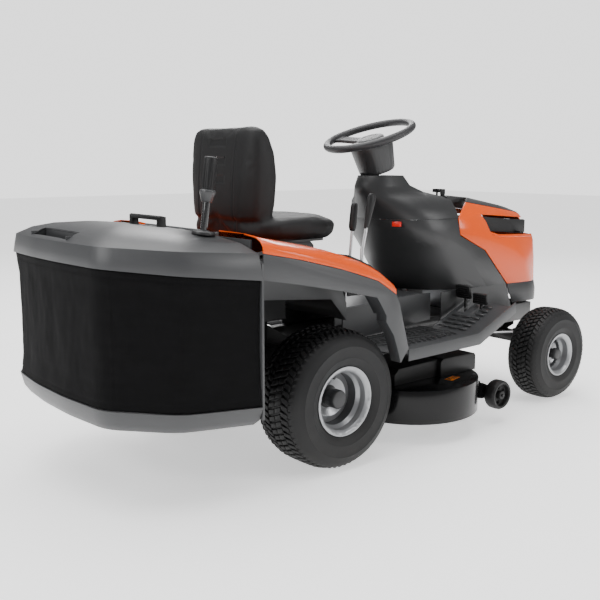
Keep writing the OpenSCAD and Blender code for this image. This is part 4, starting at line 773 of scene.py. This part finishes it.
def dump_grip():
    """The ribbed grip, its ferrule and cap, the tube, and the boot in the lid."""
    grip = turned("dump_grip_core", scaled([(11, 304), (17, 306), (17.6, 310), (18.4, 380), (18.8, 392), (17.2, 397),
                                            (15.8, 397.6), (15, 395), (3, 395)]), 64)
    pick(grip)
    ribs = []
    for i in range(16):
        deselect()
        bpy.ops.mesh.primitive_cube_add(size=1, location=(0.0178, 0, 0.346))
        r = bpy.context.object
        r.scale = (0.0024, 0.0042, 0.07)
        settle(r)
        soften(r, 0.0008, 40, 2)
        r.rotation_euler = (0, 0, 2 * math.pi * i / 16)
        settle(r)
        ribs.append(r)
    o = join("dump_grip", [grip] + ribs)
    bpy.ops.object.shade_smooth_by_angle(angle=math.radians(40))
    place_along(o, *DUMP_FOOT)
    dress(o, "dump_grip", BLACK_PLASTIC, "dump_handle")
    ferrule = turned("dump_ferrule", scaled([(12, 270), (15, 270), (16.5, 273), (22.5, 292), (24.5, 299), (23.5, 304),
                                             (19, 306.5), (11.5, 306.5)]), 14)
    soften(ferrule, 0.0015, 20, 2)
    place_along(ferrule, *DUMP_FOOT)
    dress(ferrule, "dump_ferrule", LIGHT_PLASTIC, "dump_handle")
    rim = turned("dump_grip_cap", scaled([(15.6, 396), (18.2, 397), (18.4, 399), (17, 400.4), (14.6, 400.2),
                                          (13.8, 397), (15.6, 396)]), 48)
    place_along(rim, *DUMP_FOOT)
    dress(rim, "dump_grip_cap", LIGHT_PLASTIC, "dump_handle")
    tube = turned("dump_tube", scaled([(9, -160), (11, -159), (11, 272), (9, 272)]), 48, closed=True)
    soften(tube, 0.0004, 40, 1)
    place_along(tube, *DUMP_FOOT)
    dress(tube, "dump_tube", TUBE_BLACK, "dump_handle")
    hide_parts("dump_handle")
    boot = turned("dump_boot", scaled([(12, 174), (34, 174), (35, 178), (34, 183), (29, 187), (24, 186), (20, 183),
                                       (17, 184), (16, 190), (13.5, 190), (12, 186)]), 56, closed=True)
    place_along(boot, *DUMP_FOOT)
    soften(boot, 0.0006, 30, 2)
    dress(boot, "dump_boot", DARK_GREY, "collector")


LIGHT_PLASTIC = moulded("ferrule_plastic", (0.045, 0.046, 0.048), 0.35, 1200, 0.3, 0.05, 0.1)
TUBE_BLACK = moulded("tube_enamel", (0.01, 0.01, 0.011), 0.2, 300, 0.1, 0.03, 0.1, coat=0.6)
dump_grip()


# ---------------------------------------------------------------- steering wheel
def wheel_of_driver():
    """Ring with swollen hand places, three spokes and a round pad."""
    ring = turned("wheel_ring", [(0.166 + 0.0142 * math.cos(a), 0.0136 * math.sin(a))
                                 for a in [2 * math.pi * k / 24 for k in range(24)]], 96, closed=True)
    for v in ring.data.vertices:
        a = math.atan2(v.co.y, v.co.x)
        flat = math.hypot(v.co.x, v.co.y)
        swell = 1 + 0.07 * sum(band(math.remainder(a - c, 2 * math.pi), 0, 0.28) for c in (1.75, -1.75, 3.14))
        r = 0.166 + (flat - 0.166) * swell
        v.co.x, v.co.y, v.co.z = v.co.x * r / flat, v.co.y * r / flat, v.co.z * swell
    parts = [ring]
    for angle in (100, 180, 260):
        deselect()
        bpy.ops.mesh.primitive_cube_add(size=1, location=(0, 0, 0))
        s = bpy.context.object
        bpy.ops.object.mode_set(mode="EDIT")
        bpy.ops.mesh.select_all(action="SELECT")
        bpy.ops.mesh.subdivide(number_cuts=5)
        bpy.ops.object.mode_set(mode="OBJECT")
        for v in s.data.vertices:
            t = v.co.x + 0.5
            lift = t * t * (3 - 2 * t)
            v.co = Vector((0.036 + 0.128 * t, v.co.y * (0.052 - 0.008 * math.sin(t * 3.1)),
                           v.co.z * 0.012 - 0.0175 + 0.013 * lift))
        soften(s, 0.0035, 40, 4)
        s.rotation_euler = (0, 0, math.radians(angle))
        parts.append(settle(s))
    pad = turned("wheel_pad", scaled([(20, -23), (50, -23), (58, -19), (60, -13), (57, -8.5), (50, -6.5), (34, -6),
                                      (33, -7.5), (31, -7.5), (30, -6.2), (2, -6)]), 8)
    modify(pad, "SUBSURF", levels=3, render_levels=3)
    parts.append(pad)
    o = join("steering_wheel_grip", parts)
    pick(o)
    bpy.ops.object.shade_smooth_by_angle(angle=math.radians(45))
    place_along(o, 527, 0, 1081, -19)
    dress(o, "steering_wheel_grip", GRIP, "steering_wheel")
    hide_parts("steering_wheel")
    return o


wheel_of_driver()


# ---------------------------------------------------------------- levers beside the seat
def lever_grips():
    """Round grip and bent rod of the height lever, flat grip of the blade lever."""
    a = turned("height_grip", scaled([(6, 194), (9, 196), (12.2, 206), (13, 214), (12.6, 250), (12, 276), (10.5, 284),
                                      (7, 288), (1, 289)]), 48)
    along, up = LEVER_PIN
    place_along(a, along, -290, up, 6)
    pick(a)
    bpy.ops.object.shade_smooth_by_angle(angle=math.radians(40))
    dress(a, "height_lever_grip", BLACK_PLASTIC, "height_lever")
    rod = turned("height_rod", scaled([(1, -4), (5, -4), (5, 196), (1, 196)]), 32)
    place_along(rod, along, -290, up, 6)
    hub = turned("height_hub", scaled([(6.1, -7), (14, -7), (14, 7), (6.1, 7)]), 48, closed=True)
    soften(hub, 0.0008, 30, 2)
    hub.rotation_euler = (math.radians(90), 0, 0)
    hub.location = mm(along, -290, up)
    settle(hub)
    o = join("height_lever_rod", [rod, hub])
    pick(o)
    bpy.ops.object.shade_smooth_by_angle(angle=math.radians(35))
    dress(o, "height_lever_rod", ZINC, "height_lever")
    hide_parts("height_lever")
    b = turned("blade_grip", scaled([(5, -6), (8.2, -3), (9, 4), (11, 30), (14.5, 70), (16.5, 96), (16, 106),
                                     (11, 113), (1, 115)]), 40)
    for v in b.data.vertices:
        v.co.y *= 0.62
    soften(b, 0.001, 35, 2)
    place_along(b, along + 4.9 + 17.5, -355, up + 138 + 70, 14)
    dress(b, "blade_lever_grip", BLACK_PLASTIC, "blade_lever")


lever_grips()


# ---------------------------------------------------------------- footboard tread, pedal pads and grip pocket
def slat(x, y, z, size, turn=0.0, slope=0.0, edge=0.0008):
    """A small raised bar with rounded edges; sizes and places in mm."""
    deselect()
    bpy.ops.mesh.primitive_cube_add(size=1, location=(0, 0, 0))
    o = bpy.context.object
    o.scale = [v / 1000 for v in size]
    settle(o)
    soften(o, edge, 40, 2)
    o.rotation_euler = (0, math.radians(-slope), math.radians(turn))
    o.location = mm(x, y, z)
    return settle(o)


def footboard_tread():
    """Chevron bars on both floors, and straight bars on the ramps with room left for the pedals."""
    bars = []
    for side in (-1, 1):
        for x in range(296, 296 + 13 * 27, 27):
            z = FLOOR_Z + FLOOR_RISE * (x - FLOOR_REAR) + 0.9
            for k, y in enumerate((214, 262, 310, 358)):
                bars.append(slat(x, side * y, z, (8, 47, 2.6), side * (20 if k % 2 else -20), 1.1))
        for x in range(662, 662 + 7 * 25, 25):
            z = FLOOR_Z + 8 + RAMP_RISE * (x - FLOOR_FRONT) + 1.0
            for y in (276, 322, 368):
                by_pedal = y < 300 or (side < 0 and y < 364)
                if x < 760 or not by_pedal:
                    bars.append(slat(x, side * y, z, (8, 40, 2.6), 0, 23))
    dress(join("footboard_tread", bars), "footboard_tread", DARK_GREY, "chassis")


def pedal_pad(name, body, py, top_z, lean, long, wide):
    """Thick ribbed rubber over a pedal's pad, in the pedal's own lean."""
    along, foot = PEDAL_PIVOT
    arm = Matrix.Rotation(math.radians(-lean), 4, "Y")
    reach = Matrix.Translation((-0.008, 0, (top_z - foot - long / 2) / 1000))
    tilt = Matrix.Rotation(math.radians(-12), 4, "Y")
    parts = []
    for place, size in ([((0.0005, 0, 0), (11, wide + 4, long - 1))]
                        + [((-0.0062, 0, k * 0.0085), (4, wide - 4, 4.4)) for k in range(-2, 3)]):
        deselect()
        bpy.ops.mesh.primitive_cube_add(size=1, location=place)
        o = bpy.context.object
        o.scale = [v / 1000 for v in size]
        settle(o)
        soften(o, 0.0016 if size[0] > 5 else 0.0009, 40, 3)
        parts.append(o)
    o = join(name, parts)
    o.matrix_world = Matrix.Translation(mm(along, py, foot)) @ arm @ reach @ tilt
    settle(o)
    dress(o, name, BLACK_PLASTIC, body)


def grip_pocket():
    """The pocket behind the lid's rear hand grip: floor, front wall and two ends."""
    walls = [slat(-745, 0, 735, (48, 246, 2.4)), slat(-722, 0, 758, (2.4, 246, 46)),
             slat(-745, -122, 756, (48, 2.4, 42)), slat(-745, 122, 756, (48, 2.4, 42))]
    dress(join("lid_grip_pocket", walls), "lid_grip_pocket", MID_GREY, "collector")


grip_pocket()
footboard_tread()
pedal_pad("forward_pedal_pad", "forward_pedal", -262, 508, 2, 52, 62)
pedal_pad("reverse_pedal_pad", "reverse_pedal", -330, 480, -6, 40, 60)
pedal_pad("brake_pedal_pad", "brake_pedal", 280, 508, 2, 62, 86)


# ---------------------------------------------------------------- lines on the panels, key switch and plain marks
def bead(name, target, points, radius, material, side):
    """A thin raised line along a panel's side, from (x, z) points in mm that are laid on its outer face."""
    path = []
    for x, z in points:
        start = mm(x, side * 700, z)
        hit, place = PARTS[target].ray_cast(start, Vector((0, -side, 0)))[:2]
        if hit:
            path.append(place)
    deselect()
    bpy.ops.mesh.primitive_circle_add(vertices=10, radius=radius / 1000, location=path[0],
                                      rotation=(0, math.radians(90), 0), fill_type="NGON")
    o = bpy.context.object
    bpy.ops.object.mode_set(mode="EDIT")
    bpy.ops.mesh.select_all(action="SELECT")
    for a, b in zip(path, path[1:]):
        bpy.ops.mesh.extrude_region_move()
        bpy.ops.transform.translate(value=b - a)
    bpy.ops.mesh.select_all(action="SELECT")
    bpy.ops.mesh.normals_make_consistent(inside=False)
    bpy.ops.object.mode_set(mode="OBJECT")
    settle(o)
    bpy.ops.object.shade_smooth_by_angle(angle=math.radians(40))
    return dress(o, name, material, frame["nodes"][target]["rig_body"])


def laid(o, target, x, y, lift=0.0):
    """Lays a piece made flat at the world's middle on a panel's top face, lifted by so many mm."""
    place, normal = PARTS[target].ray_cast(mm(x, y, 1300), Vector((0, 0, -1)))[1:3]
    o.rotation_euler = normal.to_track_quat("Z", "Y").to_euler()
    o.location = place + normal * lift / 1000
    return settle(o)


for side, word in ((-1, "right"), (1, "left")):
    bead("hood_lip_" + word, "hood_shell", [(1012, 694), (1062, 680), (1130, 676), (1200, 672), (1270, 668),
                                            (1330, 665), (1385, 662)], 2.6, ORANGE, side)
    bead("dash_seam_" + word, "dash_tower", [(700, 765), (730, 765), (760, 765), (790, 765), (806, 765)], 1.3,
         BLACK_PLASTIC, side)

switch = turned("switch", scaled([(4, 0), (19, 0), (19, 2), (17.5, 3.4), (13, 3.4), (12, 2.4), (8.5, 2.4), (8, 5),
                                  (4, 5)]), 48, closed=True)
laid(switch, "dash_tower", 868, -78, -0.6)
pick(switch)
bpy.ops.object.shade_smooth_by_angle(angle=math.radians(35))
dress(switch, "key_switch_ring", CHROME, "chassis")

mark = slat(AXLE * 1000, 0, 0, (44, 44, 1.0), edge=0.0003)
laid(mark, "dash_tower", 806, -78, 0.1)
dress(mark, "dash_mark", BLACK_PLASTIC, "chassis")

plate = slat(572, -404, DECK_TOP + 0.5, (62, 30, 1.0), 12, 0, 0.0003)
marks = [slat(572 + dx, -404 + dy, DECK_TOP + 1.05, size, 12, 0, 0.0001)
         for dx, dy, size in ((-18, -3, (14, 14, 0.5)), (10, 3, (30, 4, 0.5)), (10, -6, (30, 4, 0.5)))]
sign = dress(join("deck_label", [plate] + marks), "deck_label", LABEL, "deck")
paint(sign, BLACK_PLASTIC, lambda c: c.z > (DECK_TOP + 1.03) / 1000)


# ---------------------------------------------------------------- floor, light and camera
deselect()
bpy.ops.mesh.primitive_grid_add(x_subdivisions=4, y_subdivisions=4, size=40, location=(0, 0, 0))
floor = bpy.context.object
floor.name = "floor"
floor.data.materials.append(moulded("floor_paint", (0.86, 0.86, 0.86), 0.6, 40, 0.1, 0.01, 0.0, strength=0.02))
glow = floor.data.materials[0].node_tree.nodes["Principled BSDF"]
glow.inputs["Emission Color"].default_value = (1, 1, 1, 1)
glow.inputs["Emission Strength"].default_value = 0.8


def lamp(name, place, aim, size, power, colour=(1, 1, 1)):
    """A soft rectangular lamp aimed at a point."""
    data = bpy.data.lights.new(name, "AREA")
    data.shape = "RECTANGLE"
    data.size, data.size_y = size
    data.energy = power
    data.color = colour
    o = bpy.data.objects.new(name, data)
    bpy.context.scene.collection.objects.link(o)
    o.location = place
    o.rotation_euler = (Vector(aim) - Vector(place)).to_track_quat("-Z", "Y").to_euler()
    return o


lamp("soft_overhead", (-0.2, 0.2, 4.4), (0, 0, 0.4), (5.0, 4.0), 190)
lamp("soft_left", (-4.4, -0.4, 2.4), (0, 0, 0.5), (1.8, 2.2), 70)
lamp("soft_right", (2.6, -4.4, 2.6), (0.2, 0, 0.4), (1.8, 1.8), 90)
sun = bpy.data.lights.new("even_sky", "SUN")
sun.energy, sun.angle = 1.9, math.radians(70)
sky = bpy.data.objects.new("even_sky", sun)
bpy.context.scene.collection.objects.link(sky)
sky.rotation_euler = (math.radians(-14), math.radians(-10), 0)
lamp("rim_back", (2.8, 3.6, 3.2), (0, 0, 0.6), (3.0, 1.2), 120)

world = bpy.data.worlds.new("studio")
bpy.context.scene.world = world
world.use_nodes = True
wt = world.node_tree
seen = wt.nodes["Background"]
seen.inputs[0].default_value = (1, 1, 1, 1)
seen.inputs[1].default_value = 1.88
soft = wt.nodes.new("ShaderNodeBackground")
soft.inputs[0].default_value = (1, 1, 1, 1)
soft.inputs[1].default_value = 0.35
both = wt.nodes.new("ShaderNodeMixShader")
wt.links.new(wt.nodes.new("ShaderNodeLightPath").outputs["Is Camera Ray"], both.inputs[0])
wt.links.new(soft.outputs[0], both.inputs[1])
wt.links.new(seen.outputs[0], both.inputs[2])
wt.links.new(both.outputs[0], wt.nodes["World Output"].inputs[0])

cam = bpy.data.objects.new("camera", bpy.data.cameras.new("camera"))
bpy.context.scene.collection.objects.link(cam)
cam.location = (-2.0878, -2.3476, 0.9845)
cam.rotation_euler = (math.radians(80.6), 0, math.radians(-39.6))
cam.data.lens = 50.35
cam.data.sensor_width = 36
cam.data.dof.use_dof = False
bpy.context.scene.camera = cam
